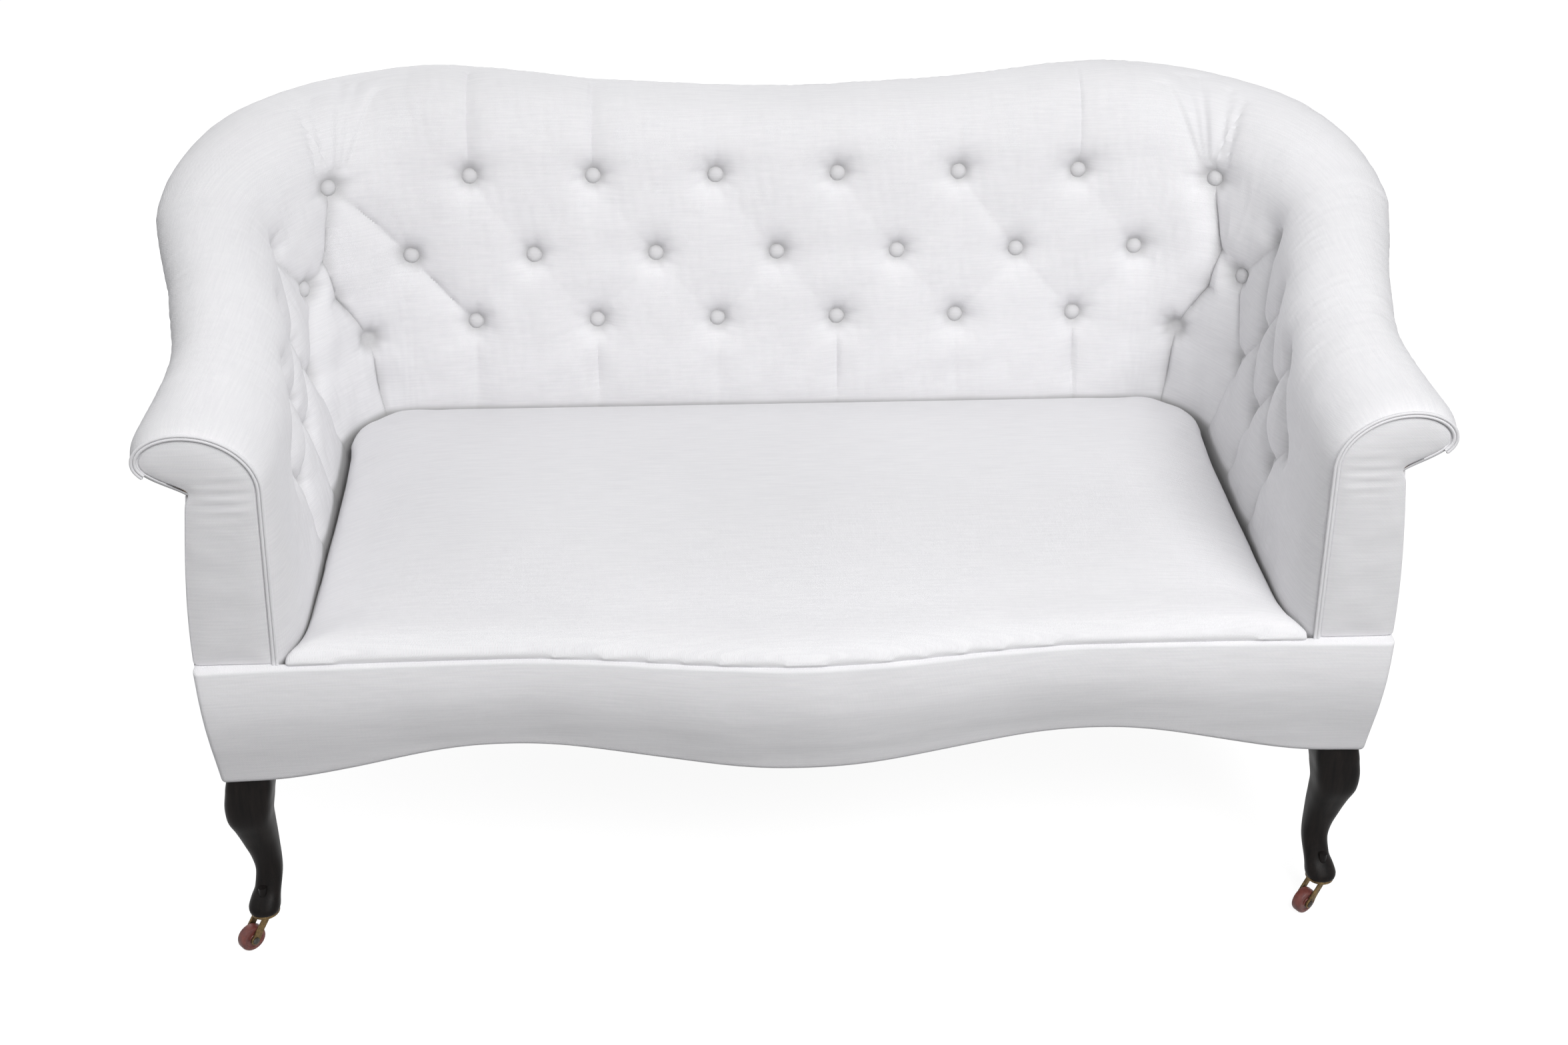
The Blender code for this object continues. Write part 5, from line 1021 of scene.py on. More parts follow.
welt_vs = np.concatenate([np.linspace(0.075, 1, 90), np.linspace(1, 2, 40)[1:], np.linspace(2, 3.35, 40)[1:]])
for side, word in ((1, "right"), (-1, "left")):
    cords = []
    for lane in (0.0021, 0.0057):
        line = tub_point(np.full(welt_vs.shape, ARM_END), welt_vs, facing_inset(welt_vs) - lane)
        line = line[line[:, 2] > FACING_LOW_Z]
        route = np.column_stack([side * line[:, 0], np.full(len(line), WELT_Y), line[:, 2]])
        cords.append(tube(route, WELT_RADIUS, 12))
    welt_points, welt_faces, welt_uvs = joined(cords)
    welt = cloth_object("facing_welt_" + word, welt_points, welt_faces, welt_uvs, COVER_LINEN)
    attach(welt, "sofa")
    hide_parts("facing_piping_" + word)

# Front border
# A band of the cover over felt, sewn to the seat's front edge and pulled down over the serpentine
# rail, its lower edge turned under and its ends turned back at the corners.
FRONT_Y = -0.354
FRONT_BOW = 0.030
FRONT_END_FLARE = 0.007
BORDER_THICKNESS = 0.010
APRON_TOP_HALF_WIDTH = INSIDE_HALF_WIDTH + 0.110
APRON_BOTTOM_HALF_WIDTH = INSIDE_HALF_WIDTH + 0.097
APRON_CENTRE_Z = 0.240
APRON_ARCH_Z = 0.263
APRON_CORNER_Z = 0.2245
APRON_ARCH_X = 0.523 * APRON_TOP_HALF_WIDTH
FRONT_BOW_HALF_WIDTH = 0.5 * APRON_TOP_HALF_WIDTH
FRONT_LEG_X = INSIDE_HALF_WIDTH + 0.070
BORDER_TURN = 0.990
BORDER_BELLY = 0.0085
LOWER_EDGE_LEVEL = 0.045
UPPER_EDGE_LEVEL = 0.975


def front_line(x):
    """Serpentine front of the upholstery in plan."""
    reach = np.abs(x)
    bow = 0.5 + 0.5 * np.cos(math.pi * np.clip(reach / FRONT_BOW_HALF_WIDTH, 0, 1))
    flare = np.clip((reach - FRONT_BOW_HALF_WIDTH) / (APRON_TOP_HALF_WIDTH - FRONT_BOW_HALF_WIDTH), 0, 1)
    return FRONT_Y - FRONT_BOW * bow - FRONT_END_FLARE * flare ** 2 + ORIGIN_SHIFT_Y


def apron_line(x):
    """Lower edge of the border: deep in the middle and at the legs, arched between."""
    reach = np.abs(x)
    middle = 0.5 - 0.5 * np.cos(math.pi * np.clip(reach / APRON_ARCH_X, 0, 1))
    end = np.clip((reach - APRON_ARCH_X) / (FRONT_LEG_X - APRON_ARCH_X), 0, 1)
    end = 0.5 - 0.5 * np.cos(math.pi * end)
    arch = APRON_CENTRE_Z + (APRON_ARCH_Z - APRON_CENTRE_Z) * middle
    return np.where(reach < APRON_ARCH_X, arch, APRON_ARCH_Z + (APRON_CORNER_Z - APRON_ARCH_Z) * end)


def border_profile():
    """Rows up the front of the border: level, and how far its edges roll back."""
    levels = np.concatenate([LOWER_EDGE_LEVEL * (1 - np.cos(np.linspace(0, math.pi / 2, 6))),
                             np.linspace(LOWER_EDGE_LEVEL, UPPER_EDGE_LEVEL, 34)[1:],
                             1 - 0.025 * np.cos(np.linspace(0, math.pi / 2, 5))[1:]])
    lower = np.clip(1 - levels / LOWER_EDGE_LEVEL, 0, 1)
    upper = np.clip((levels - UPPER_EDGE_LEVEL) / 0.025, 0, 1)
    return levels, 0.0050 * (1 - np.sqrt(1 - lower ** 2)) + 0.0030 * (1 - np.sqrt(1 - upper ** 2))


end_run = np.sin(np.linspace(0, math.pi / 2, 7))
half_shares = np.concatenate([np.linspace(0, BORDER_TURN, 170), BORDER_TURN + (1 - BORDER_TURN) * end_run[1:]])
border_shares = np.concatenate([-half_shares[:0:-1], half_shares])
border_levels, edge_roll = border_profile()
share_grid, level_grid = np.meshgrid(border_shares, border_levels)
roll_grid = np.broadcast_to(edge_roll[:, None], share_grid.shape)
half_width = APRON_BOTTOM_HALF_WIDTH + (APRON_TOP_HALF_WIDTH - APRON_BOTTOM_HALF_WIDTH) * level_grid
border_x = share_grid * half_width
border_low = apron_line(share_grid * APRON_TOP_HALF_WIDTH)
border_z = border_low + (SEAM_Z - 0.0015 - border_low) * level_grid
belly = BORDER_BELLY * np.sin(math.pi * np.clip(level_grid, 0, 1) ** 1.25)
turned_back = np.clip((np.abs(share_grid) - BORDER_TURN) / (1 - BORDER_TURN), 0, 1)
corner_roll = 0.0060 * (1 - np.sqrt(1 - turned_back ** 2))
pulls = (0.00010 * soft_waves(border_x * 0.25, border_z * 2.0, 31, (0.03, 0.08), 18)
         + 0.0005 * soft_waves(border_x, border_z, 32, (0.10, 0.30), 10))
border_y = front_line(border_x) - belly + roll_grid + corner_roll + pulls
border_map = np.stack([border_x, border_z], axis=-1)
border_front = np.concatenate([np.stack([border_x, border_y, border_z], axis=-1), border_map], axis=-1)
under_facing = (border_z > RAIL_TOP_Z + 0.002) & (np.abs(border_x) > INSIDE_HALF_WIDTH + 0.028)
border_rear_y = np.where(under_facing | (np.abs(share_grid) > BORDER_TURN + 0.0004),
                         ARM_FRONT_Y - GAP + ORIGIN_SHIFT_Y, front_line(border_x) + BORDER_THICKNESS)
border_rear = np.concatenate([np.stack([border_x, border_rear_y, border_z], axis=-1), border_map], axis=-1)
border_points, border_faces = shell_grid(border_front, border_rear, 1)
border = cloth_object("front_border_cloth", border_points[:, :3], border_faces, border_points[:, 3:], COVER_LINEN)
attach(border, "sofa")
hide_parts("front_border")

# Seat
# One plain pad, stuffed and sprung, crowned in the middle and tucked down all round against the
# back and arms. In front it rolls over to the seam, and runs out under the arms' noses.
SOFT_GAP = 0.0010
SEAT_BACK_Z = 0.402
SEAT_CROWN = 0.020
SEAT_TUCK = 0.008
SEAT_EDGE_V = 0.07
SEAT_PITCH = 0.0055
SWELL_FRAMES = 20
SWELL_CAP = 0.006
ROLL_LIFT = 0.010
ROLL_REACH = 0.026
TUCK_REACH = 0.011
CROWN_REACH = 0.040
FRONT_EASE = 0.085


def seat_outline():
    """Plan of the seat pad: serpentine front, tabs under the arms' noses, sides and round rear corners."""
    arm_x = INSIDE_HALF_WIDTH - SOFT_GAP
    tab_x = INSIDE_HALF_WIDTH + 0.028 - 0.0068 - 3 * SOFT_GAP
    tab_y = ARM_FRONT_Y - SOFT_GAP + ORIGIN_SHIFT_Y
    xs = np.linspace(0, tab_x, 120)
    line_y = front_line(xs) + 0.0006
    line_y = np.where(xs > arm_x + 0.001, np.minimum(line_y, tab_y - SOFT_GAP), line_y)
    half = list(zip(xs, line_y))
    side_y = np.linspace(tab_y, CORNER_CENTRE_Y + ORIGIN_SHIFT_Y, 100)
    side_x = arm_x + nose_rounding(ARM_START + CORNER_CENTRE_Y + ORIGIN_SHIFT_Y - side_y, SEAT_EDGE_V)
    half += list(zip(np.minimum(side_x, tab_x), side_y))
    for turned in np.linspace(math.pi / 2, 0, 20)[1:]:
        reach = CORNER_RADIUS - SOFT_GAP
        half.append((BACK_HALF + reach * math.sin(turned),
                     CORNER_CENTRE_Y + ORIGIN_SHIFT_Y + reach * math.cos(turned)))
    half += [(x, BACK_FACE_Y - SOFT_GAP + ORIGIN_SHIFT_Y) for x in np.linspace(BACK_HALF, 0, 60)[1:-1]]
    return even_loop(half + [(-x, y) for x, y in reversed(half[1:])], 0.007, 1)


def seat_top(flat, depth):
    """Height of the seat: rising a little to the back, crowned, and falling into the tuck at its edges."""
    x, y = flat[:, 0], flat[:, 1]
    rear_share = np.clip((y - FRONT_Y) / (BACK_FACE_Y - FRONT_Y), 0, 1)
    rim = SEAM_Z + (SEAT_BACK_Z - SEAM_Z) * rear_share
    near_front = eased(y - front_line(x), FRONT_EASE, 0.0)
    fall = np.clip(1 - depth / TUCK_REACH, 0, 1)
    tucked = SEAT_TUCK * (1 - np.sqrt(1 - fall ** 2)) * (1 - near_front)
    roll = np.clip(1 - depth / ROLL_REACH, 0, 1)
    rolled = ROLL_LIFT * (1 - np.sqrt(1 - roll ** 2)) * near_front
    crown = SEAT_CROWN * (1 - np.exp(-(depth / CROWN_REACH) ** 0.7))
    return rim + ROLL_LIFT * near_front + crown - tucked - rolled


def seat_rim(loop):
    """The pad's upper edge in plan: its outline, leaning out with the back and the arms."""
    behind = eased(loop[:, 1], 0.0, 0.14)
    beside = eased(loop[:, 1] - front_line(loop[:, 0]), 0.010, 0.060)
    return loop + outward(loop) * (0.0020 * beside + 0.0060 * behind)[:, None]


def seat_base():
    """Points and faces of the pad before its stuffing presses: underside, two rings and a filled top."""
    loop = seat_outline()
    rim = seat_rim(loop)
    flat, cap_faces = filled(rim, SEAT_PITCH * 1.4, SEAT_PITCH * 0.6)
    count = len(loop)
    match = [int(np.argmin(np.hypot(*(flat - p).T))) for p in rim]
    depth = np.maximum(edge_distance(flat, rim), 0)
    heights = seat_top(flat, depth)
    front_share = np.clip(1 - (loop[:, 1] - front_line(loop[:, 0])) / 0.012, 0, 1)
    inward = outward(loop)
    rings = []
    for inset, height in ((0.014, TUCK_Z + 0.0006), (0.0103, SEAM_Z - 0.003)):
        rings.append(np.column_stack([loop - inward * (inset * front_share)[:, None], np.full(count, height)]))
    points = np.vstack(rings + [np.column_stack([flat, heights])])
    start = 2 * count
    faces = [tuple(range(count))]
    for k in range(count):
        n = (k + 1) % count
        faces.append((k, n, n + count, k + count))
        faces.append((k + count, n + count, start + match[n], start + match[k]))
    faces += [tuple(start + index for index in face) for face in cap_faces]
    return points, faces


def swollen(piece, pitch, pinned, cap):
    """Remeshes a pad and lets its stuffing press the cover out, held where pinned says."""
    remesh = piece.modifiers.new("even_cloth", "REMESH")
    remesh.mode = "VOXEL"
    remesh.voxel_size = pitch
    mesh = applied(piece)
    piece.modifiers.clear()
    piece.data = mesh
    start = np.empty(len(mesh.vertices) * 3)
    mesh.vertices.foreach_get("co", start)
    start = start.reshape(-1, 3)
    held = piece.vertex_groups.new(name="held")
    for index in np.nonzero(pinned(start))[0]:
        held.add([int(index)], 1.0, "REPLACE")
    cloth = piece.modifiers.new("stuffing", "CLOTH")
    settings = cloth.settings
    settings.quality = 5
    settings.use_pressure = True
    settings.uniform_pressure_force = 4.0
    settings.effector_weights.gravity = 0.0
    settings.vertex_group_mass = "held"
    scene = bpy.context.scene
    for step in range(1, SWELL_FRAMES + 1):
        scene.frame_set(step)
    graph = bpy.context.evaluated_depsgraph_get()
    pressed = piece.evaluated_get(graph).to_mesh()
    end = np.empty(len(mesh.vertices) * 3)
    pressed.vertices.foreach_get("co", end)
    piece.evaluated_get(graph).to_mesh_clear()
    piece.modifiers.clear()
    scene.frame_set(1)
    move = end.reshape(-1, 3) - start
    length = np.linalg.norm(move, axis=1)
    move *= (cap * (1 - np.exp(-length / (2.5 * cap))) / np.maximum(length, 1e-9))[:, None]
    mesh.vertices.foreach_set("co", (start + move).ravel())
    mesh.update()


def seat_pinned(places):
    """True where the seat's cover is sewn or tacked down: under the seam and along the front line."""
    return (places[:, 2] < SEAM_Z - 0.004) | (places[:, 1] < front_line(places[:, 0]) + 0.004)


seat_points, seat_faces = seat_base()
seat = cloth_object("seat_cloth", seat_points, seat_faces, seat_points[:, :2], COVER_LINEN)
swollen(seat, SEAT_PITCH, seat_pinned, SWELL_CAP)
even = seat.modifiers.new("even", "SMOOTH")
even.factor = 0.5
even.iterations = 5
smooth = seat.modifiers.new("smooth", "SUBSURF")
smooth.levels = 1
smooth.render_levels = 1
fine_seat = applied(seat)
seat.modifiers.clear()
seat.vertex_groups.clear()
seat.data = fine_seat
seat_mesh = seat.data
seat_mesh.materials.clear()
seat_mesh.materials.append(COVER_LINEN)
seat_mesh.shade_smooth()
places = np.empty(len(seat_mesh.vertices) * 3)
seat_mesh.vertices.foreach_get("co", places)
places = places.reshape(-1, 3)
corner_points = np.empty(len(seat_mesh.loops), int)
seat_mesh.loops.foreach_get("vertex_index", corner_points)
seat_map = seat_mesh.uv_layers.get("cloth") or seat_mesh.uv_layers.new(name="cloth")
seat_map.data.foreach_set("uv", np.column_stack([places[:, 0], places[:, 1] - places[:, 2]])[corner_points].ravel())
edge_depth = edge_distance(places[:, :2], seat_rim(seat_outline()))
# Painted shade along the seat's edge where it tucks against the back and arms, none along the front.
seat_painted_shade = eased(edge_depth, 0.008, 0.002) * eased(places[:, 1] - front_line(places[:, 0]), 0.010, 0.030)
seat_mesh.attributes.new("painted_shade", "FLOAT", "POINT").data.foreach_set("value", seat_painted_shade.astype(np.float32))
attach(seat, "sofa")
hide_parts("seat_pad")

# Seat springing
# Jute webs strained across the seat frame and woven over and under each other, with waisted coil
# springs sewn on their crossings and lashed together by twine knotted over each top coil.
WEB_Z = 0.26875
WEB_THICKNESS = 0.0014
WEB_WIDTH = 0.050
WEB_WEAVE = 0.0009
SPRING_RADIUS = 0.031
SPRING_WAIST = 0.021
SPRING_TURNS = 6
SPRING_WIRE = 0.0016
TWINE_RADIUS = 0.0011


def woven(name, colour, pitch, roughness=0.93):
    """Coarse open weave of jute or cotton: thick threads both ways with uneven thickness and tone."""
    material, tree, shader = new_material(name, roughness)
    place = cloth_place(tree)
    weave = weave_height(tree, place, pitch)
    threads = noise(tree, stretched(tree, place, (30.0, 500.0, 1.0)), 1.0, 3.0)
    shades = colour_ramp(tree, threads, ((0.30, [c * 0.72 for c in colour]), (0.70, [c * 1.10 for c in colour])))
    tree.links.new(shades, shader.inputs["Base Color"])
    first = bump(tree, shader, weave, 0.0005, 0.7)
    bump(tree, shader, threads, 0.0008, 0.4, first)
    return material


JUTE = woven("jute_webbing", (0.50, 0.40, 0.26), 0.0022)
HESSIAN_CLOTH = woven("hessian", (0.52, 0.42, 0.28), 0.0018)
TWINE_FLAX = woven("lashing_twine", (0.56, 0.47, 0.33), 0.0012)


def polished_metal(name, colour, roughness, tarnish, tarnish_scale=60.0):
    """Metal with soft patches of tarnish that also dull its shine."""
    material, tree, shader = new_material(name, roughness)
    shader.inputs["Metallic"].default_value = 1.0
    patches = noise(tree, object_place(tree), tarnish_scale, 4.0, 0.6)
    tree.links.new(colour_ramp(tree, patches, ((0.35, tarnish), (0.62, colour))), shader.inputs["Base Color"])
    dull = tree.nodes.new("ShaderNodeMapRange")
    dull.inputs["To Min"].default_value = min(roughness + 0.22, 1.0)
    dull.inputs["To Max"].default_value = roughness
    tree.links.new(patches, dull.inputs["Value"])
    tree.links.new(dull.outputs["Result"], shader.inputs["Roughness"])
    bump(tree, shader, noise(tree, object_place(tree), 900.0, 2.0), 0.00006, 0.6)
    return material


SPRING_STEEL = polished_metal("spring_steel", (0.36, 0.36, 0.37), 0.38, (0.22, 0.17, 0.13))


def strap(start, stop, phase, crossings, across_x):
    """One web between two rails, rising over and dipping under the webs that cross it."""
    count = 90
    run = np.linspace(start, stop, count)
    lift = np.zeros(count)
    for index, place in enumerate(crossings):
        lift += (1 if (index + phase) % 2 else -1) * WEB_WEAVE * np.exp(-((run - place) / (WEB_WIDTH * 0.55)) ** 4)
    widths = np.linspace(-0.5, 0.5, 5) * WEB_WIDTH
    points, faces, uvs = [], [], []
    for level in (0.5, -0.5):
        for k in range(count):
            for width in widths:
                along_place, aside = (run[k], width) if across_x else (width, run[k])
                points.append((along_place, aside, WEB_Z + lift[k] + level * WEB_THICKNESS))
                uvs.append((run[k], width))
    wide, layer = len(widths), count * len(widths)
    for k in range(count - 1):
        for j in range(wide - 1):
            a = k * wide + j
            faces.append((a, a + 1, a + wide + 1, a + wide))
            faces.append((a + layer, a + wide + layer, a + wide + 1 + layer, a + 1 + layer))
        for a, b in ((k * wide, (k + 1) * wide), ((k + 1) * wide + wide - 1, k * wide + wide - 1)):
            faces.append((a, b, b + layer, a + layer))
    for row in (0, count - 1):
        for j in range(wide - 1):
            a = row * wide + j
            faces.append((a + 1, a, a + layer, a + 1 + layer) if row == 0 else (a, a + 1, a + 1 + layer, a + layer))
    return np.array(points), faces, np.array(uvs)


webbing_low, webbing_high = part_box("seat_webbing")
springs_low, springs_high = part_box("seat_springs")
spring_xs = np.linspace(springs_low.x + 0.032, springs_high.x - 0.032, 6)
spring_ys = np.linspace(springs_low.y + 0.032, springs_high.y - 0.032, 3)
straps = []
for index, x in enumerate(spring_xs):
    points, faces, uvs = strap(webbing_low.y + 0.0004, webbing_high.y - 0.0004, index, spring_ys, False)
    straps.append((points + np.array([x, 0, 0]), faces, uvs))
for index, y in enumerate(spring_ys):
    points, faces, uvs = strap(webbing_low.x + 0.0004, webbing_high.x - 0.0004, index + 1, spring_xs, True)
    straps.append((points + np.array([0, y, 0]), faces, uvs))
web_points, web_faces, web_uvs = joined(straps)
webbing = cloth_object("woven_webbing", web_points, web_faces, web_uvs, JUTE, math.radians(40))
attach(webbing, "sofa")
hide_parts("seat_webbing")

# Coil springs: one hourglass coil of tempered wire, its ends closed into rings, set on every crossing.
SPRING_LOW = WEB_Z + WEB_WEAVE + WEB_THICKNESS / 2 + SPRING_WIRE
SPRING_HIGH = springs_high.z - TWINE_RADIUS * 2 - SPRING_WIRE
turn_share = np.linspace(0, 1, SPRING_TURNS * 14 + 1)
coil_rise = np.clip((turn_share * SPRING_TURNS - 0.9) / (SPRING_TURNS - 1.8), 0, 1)
coil_radius = SPRING_WAIST + (SPRING_RADIUS - SPRING_WAIST) * np.abs(2 * coil_rise - 1) ** 1.5
coil_angle = 2 * math.pi * SPRING_TURNS * turn_share
coil = np.column_stack([coil_radius * np.cos(coil_angle), coil_radius * np.sin(coil_angle),
                        SPRING_LOW + (SPRING_HIGH - SPRING_LOW) * coil_rise])
coil_points, coil_faces, coil_uvs = tube(coil, SPRING_WIRE, 6)
coil_blank = cloth_object("spring_blank", coil_points, coil_faces, coil_uvs, SPRING_STEEL)
crossings = [(x, y, 0.0) for x in spring_xs for y in spring_ys]
springs = set_on_points("coil_springs", coil_blank, crossings, [(0, 0, 1)] * len(crossings),
                        [(1, 0, 0)] * len(crossings), SPRING_STEEL)
bpy.data.objects.remove(coil_blank, do_unlink=True)
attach(springs, "sofa")
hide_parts("seat_springs")

lashings = []
twine_z = springs_high.z - TWINE_RADIUS - 0.0002
for y in spring_ys:
    run = np.linspace(springs_low.x + 0.012, springs_high.x - 0.012, 120)
    near_coil = np.min(np.abs(np.abs(run[:, None] - spring_xs[None, :]) - SPRING_RADIUS), axis=1)
    line = np.column_stack([run, np.full(len(run), y), twine_z - 0.0022 * (1 - np.exp(-(near_coil / 0.012) ** 2))])
    lashings.append(tube(line, TWINE_RADIUS, 6))
for x in spring_xs:
    run = np.linspace(springs_low.y + 0.012, springs_high.y - 0.012, 60)
    near_coil = np.min(np.abs(np.abs(run[:, None] - spring_ys[None, :]) - SPRING_RADIUS), axis=1)
    line = np.column_stack([np.full(len(run), x), run, twine_z - 0.0024 * (1 - np.exp(-(near_coil / 0.012) ** 2))])
    lashings.append(tube(line, TWINE_RADIUS, 6))
twine_points, twine_faces, twine_uvs = joined(lashings)
twine = cloth_object("lashing_twine", twine_points, twine_faces, twine_uvs, TWINE_FLAX)
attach(twine, "sofa")

# Hessian linings
# Open jute cloth strained over the springs, and behind the stuffing of the back and arms, pulled
# drum-tight between the rails.
HESSIAN_THICKNESS = 0.0013


def strained_sheet(name, near, far, uvs, material):
    """Closed thin cloth between two like grids of points."""
    front = np.concatenate([near, uvs], axis=-1)
    rear = np.concatenate([far, uvs], axis=-1)
    points, faces = shell_grid(front, rear, 1)
    return cloth_object(name, points[:, :3], faces, points[:, 3:], material)


POST_THICKNESS = 0.028
arm_lining_end = ARM_END - POST_THICKNESS - GAP
for node, start, stop in (("back_hessian", GAP - CORNER_SEAM, CORNER_SEAM - GAP),
                          ("arm_hessian_right", CORNER_SEAM + GAP, arm_lining_end),
                          ("arm_hessian_left", -arm_lining_end, -CORNER_SEAM - GAP)):
    columns = np.linspace(start, stop, int(abs(stop - start) / 0.012))
    grid_a, grid_v = np.meshgrid(columns, np.linspace(0.004, BUTTON_ROWS[2] - 0.010, 36))
    depth = pad_depth(grid_v) + GAP
    near = tub_point(grid_a, grid_v, depth)
    far = tub_point(grid_a, grid_v, depth + HESSIAN_THICKNESS)
    thread_map = np.stack([grid_a, girth(grid_a, grid_v)], axis=-1)
    lining = strained_sheet(node + "_cloth", near, far, thread_map, HESSIAN_CLOTH)
    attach(lining, "sofa")
    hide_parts(node)


def flat_cloth(name, node, loop, low, thickness, sag, material):
    """Level sheet over a plan outline, sagging a little between its edges."""
    flat, cap_faces = filled(loop, 0.018, 0.008)
    dip = sag * (1 - np.exp(-(np.maximum(edge_distance(flat, loop), 0) / 0.12) ** 2))
    count = len(flat)
    points = np.vstack([np.column_stack([flat, low + thickness - dip]), np.column_stack([flat, low - dip])])
    rim = [int(np.argmin(np.hypot(*(flat - p).T))) for p in loop]
    faces = cap_faces + [tuple(index + count for index in reversed(face)) for face in cap_faces]
    faces += [(rim[k], rim[(k + 1) % len(rim)], rim[(k + 1) % len(rim)] + count, rim[k] + count)
              for k in range(len(rim))]
    cloth = cloth_object(name, points, faces, points[:, :2], material)
    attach(cloth, "sofa")
    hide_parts(node)


hessian_low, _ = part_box("seat_hessian")
lap = 0.066
side_lap = INSIDE_HALF_WIDTH + lap
lap_line = [(side_lap, hessian_low.y + 0.037)]
for turned in np.linspace(math.pi / 2, 0, 14):
    lap_line.append((BACK_HALF + (CORNER_RADIUS + lap) * math.sin(turned),
                     CORNER_CENTRE_Y + ORIGIN_SHIFT_Y + (CORNER_RADIUS + lap) * math.cos(turned)))
lap_line = [(FRONT_LEG_X - 0.038, hessian_low.y + 0.0002)] + lap_line
hessian_loop = even_loop(lap_line + [(-x, y) for x, y in reversed(lap_line)], 0.018, 0)
flat_cloth("seat_hessian_cloth", "seat_hessian", hessian_loop, RAIL_TOP_Z + GAP, HESSIAN_THICKNESS, 0.0,
           HESSIAN_CLOTH)

# Outside back and outside arms
# Flat panels of the cover, pinned under the roll, slip-stitched down the two rear corners and to
# the facings, and tacked beneath the seat rails. They lie smooth, with a faint pull from their edges.
OUTSIDE_THICKNESS = 0.0016
OUTSIDE_DRAW = 0.0007
OUTSIDE_TUCK = 0.0032
STITCH_PITCH = 0.0085


def outside_surface(along, w, depth):
    """Surface of an outside cover; its top edge goes up behind the roll's lip."""
    edge = np.minimum(np.minimum(w, 1 - w) * 0.45, 0.05) / 0.05
    drawn = 0.0012 * (1 - np.clip(edge, 0, 1)) ** 2
    ease = OUTSIDE_DRAW * soft_waves(along, w * 0.45, 41, (0.08, 0.25), 16) * np.clip(edge, 0, 1)
    surface = panel_point(along, w, depth + drawn + OUTSIDE_DRAW + ease)
    surface[..., 2] += (OUTSIDE_TUCK + 0.8 * nose_rounding(along, 4.0)) * np.clip(1 - w / 0.03, 0, 1)
    return surface


outside_rows = np.linspace(0, 1, 70)
for node, start, stop in (("outside_back", 0.00015 - CORNER_SEAM, CORNER_SEAM - 0.00015),
                          ("outside_arm_right", CORNER_SEAM + 0.00015, ARM_END),
                          ("outside_arm_left", -ARM_END, -CORNER_SEAM - 0.00015)):
    columns = np.linspace(start, stop, int(abs(stop - start) / 0.007))
    grid_a, grid_w = np.meshgrid(columns, outside_rows)
    near = outside_surface(grid_a, grid_w, 0.0)
    far = outside_surface(grid_a, grid_w, OUTSIDE_THICKNESS)
    panel = strained_sheet(node + "_cloth", near, far, np.stack([grid_a, near[..., 2]], axis=-1), COVER_LINEN)
    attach(panel, "sofa")
    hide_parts(node)

# Slip stitches: short waxed threads that draw the back's panel to each arm's, down both corners.
stitch_path = np.array([(-0.0034, 0, 0.0), (-0.0022, 0, 0.0005), (0.0022, 0, 0.0005), (0.0034, 0, 0.0)])
stitch_blank = cloth_object("stitch_blank", *tube(stitch_path, 0.00032, 6), COVER_LINEN)
stitch_places, stitch_facings, stitch_leads = [], [], []
for side in (1, -1):
    seam = np.full(400, side * CORNER_SEAM)
    ws = np.linspace(0.015, 0.985, 400)
    line = outside_surface(seam, ws, -0.0001)
    run = np.concatenate([[0], np.cumsum(np.linalg.norm(np.diff(line, axis=0), axis=1))])
    _, _, out_x, out_y = plan(np.array(side * CORNER_SEAM))
    for at in np.arange(0.004, run[-1], STITCH_PITCH):
        stitch_places.append([np.interp(at, run, line[:, k]) for k in range(3)])
        stitch_facings.append((out_x, out_y, 0.0))
        stitch_leads.append((out_y, -out_x, 0.25))
stitches = set_on_points("corner_slip_stitches", stitch_blank, stitch_places, stitch_facings, stitch_leads,
                         COVER_LINEN)
bpy.data.objects.remove(stitch_blank, do_unlink=True)
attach(stitches, "sofa")

# Dust cover
# Black cambric that keeps dust and stuffing off the floor. It is strained under the springs, close
# inside the rails, and notched round the legs.
CAMBRIC_CLOTH = woven("dust_cambric", (0.030, 0.030, 0.033), 0.0007, 0.95)
RAIL_INNER_OFFSET = 0.062
RAIL_BEND = 0.042
LEG_HEAD = 0.038
REAR_LEG_HEAD = 0.040
REAR_LEG_OFFSET = 0.098 - REAR_LEG_HEAD / 2
REAR_LEG_ROOM = PITCH_RADIUS * math.asin((REAR_LEG_HEAD / 2 + GAP) / (CORNER_RADIUS + RAIL_INNER_OFFSET))
FRONT_RAIL_BACK_Y = FRONT_Y + BORDER_THICKNESS + 0.036 + ORIGIN_SHIFT_Y
FRONT_LEG_Y = float(front_line(FRONT_LEG_X - LEG_HEAD / 2)) + BORDER_THICKNESS + 2 * GAP + LEG_HEAD / 2


def at_offset(along, offset):
    """Place in plan a given way outside the seat line."""
    base_x, base_y, out_x, out_y = plan(np.array(float(along)))
    return float(base_x + offset * out_x), float(base_y + offset * out_y)


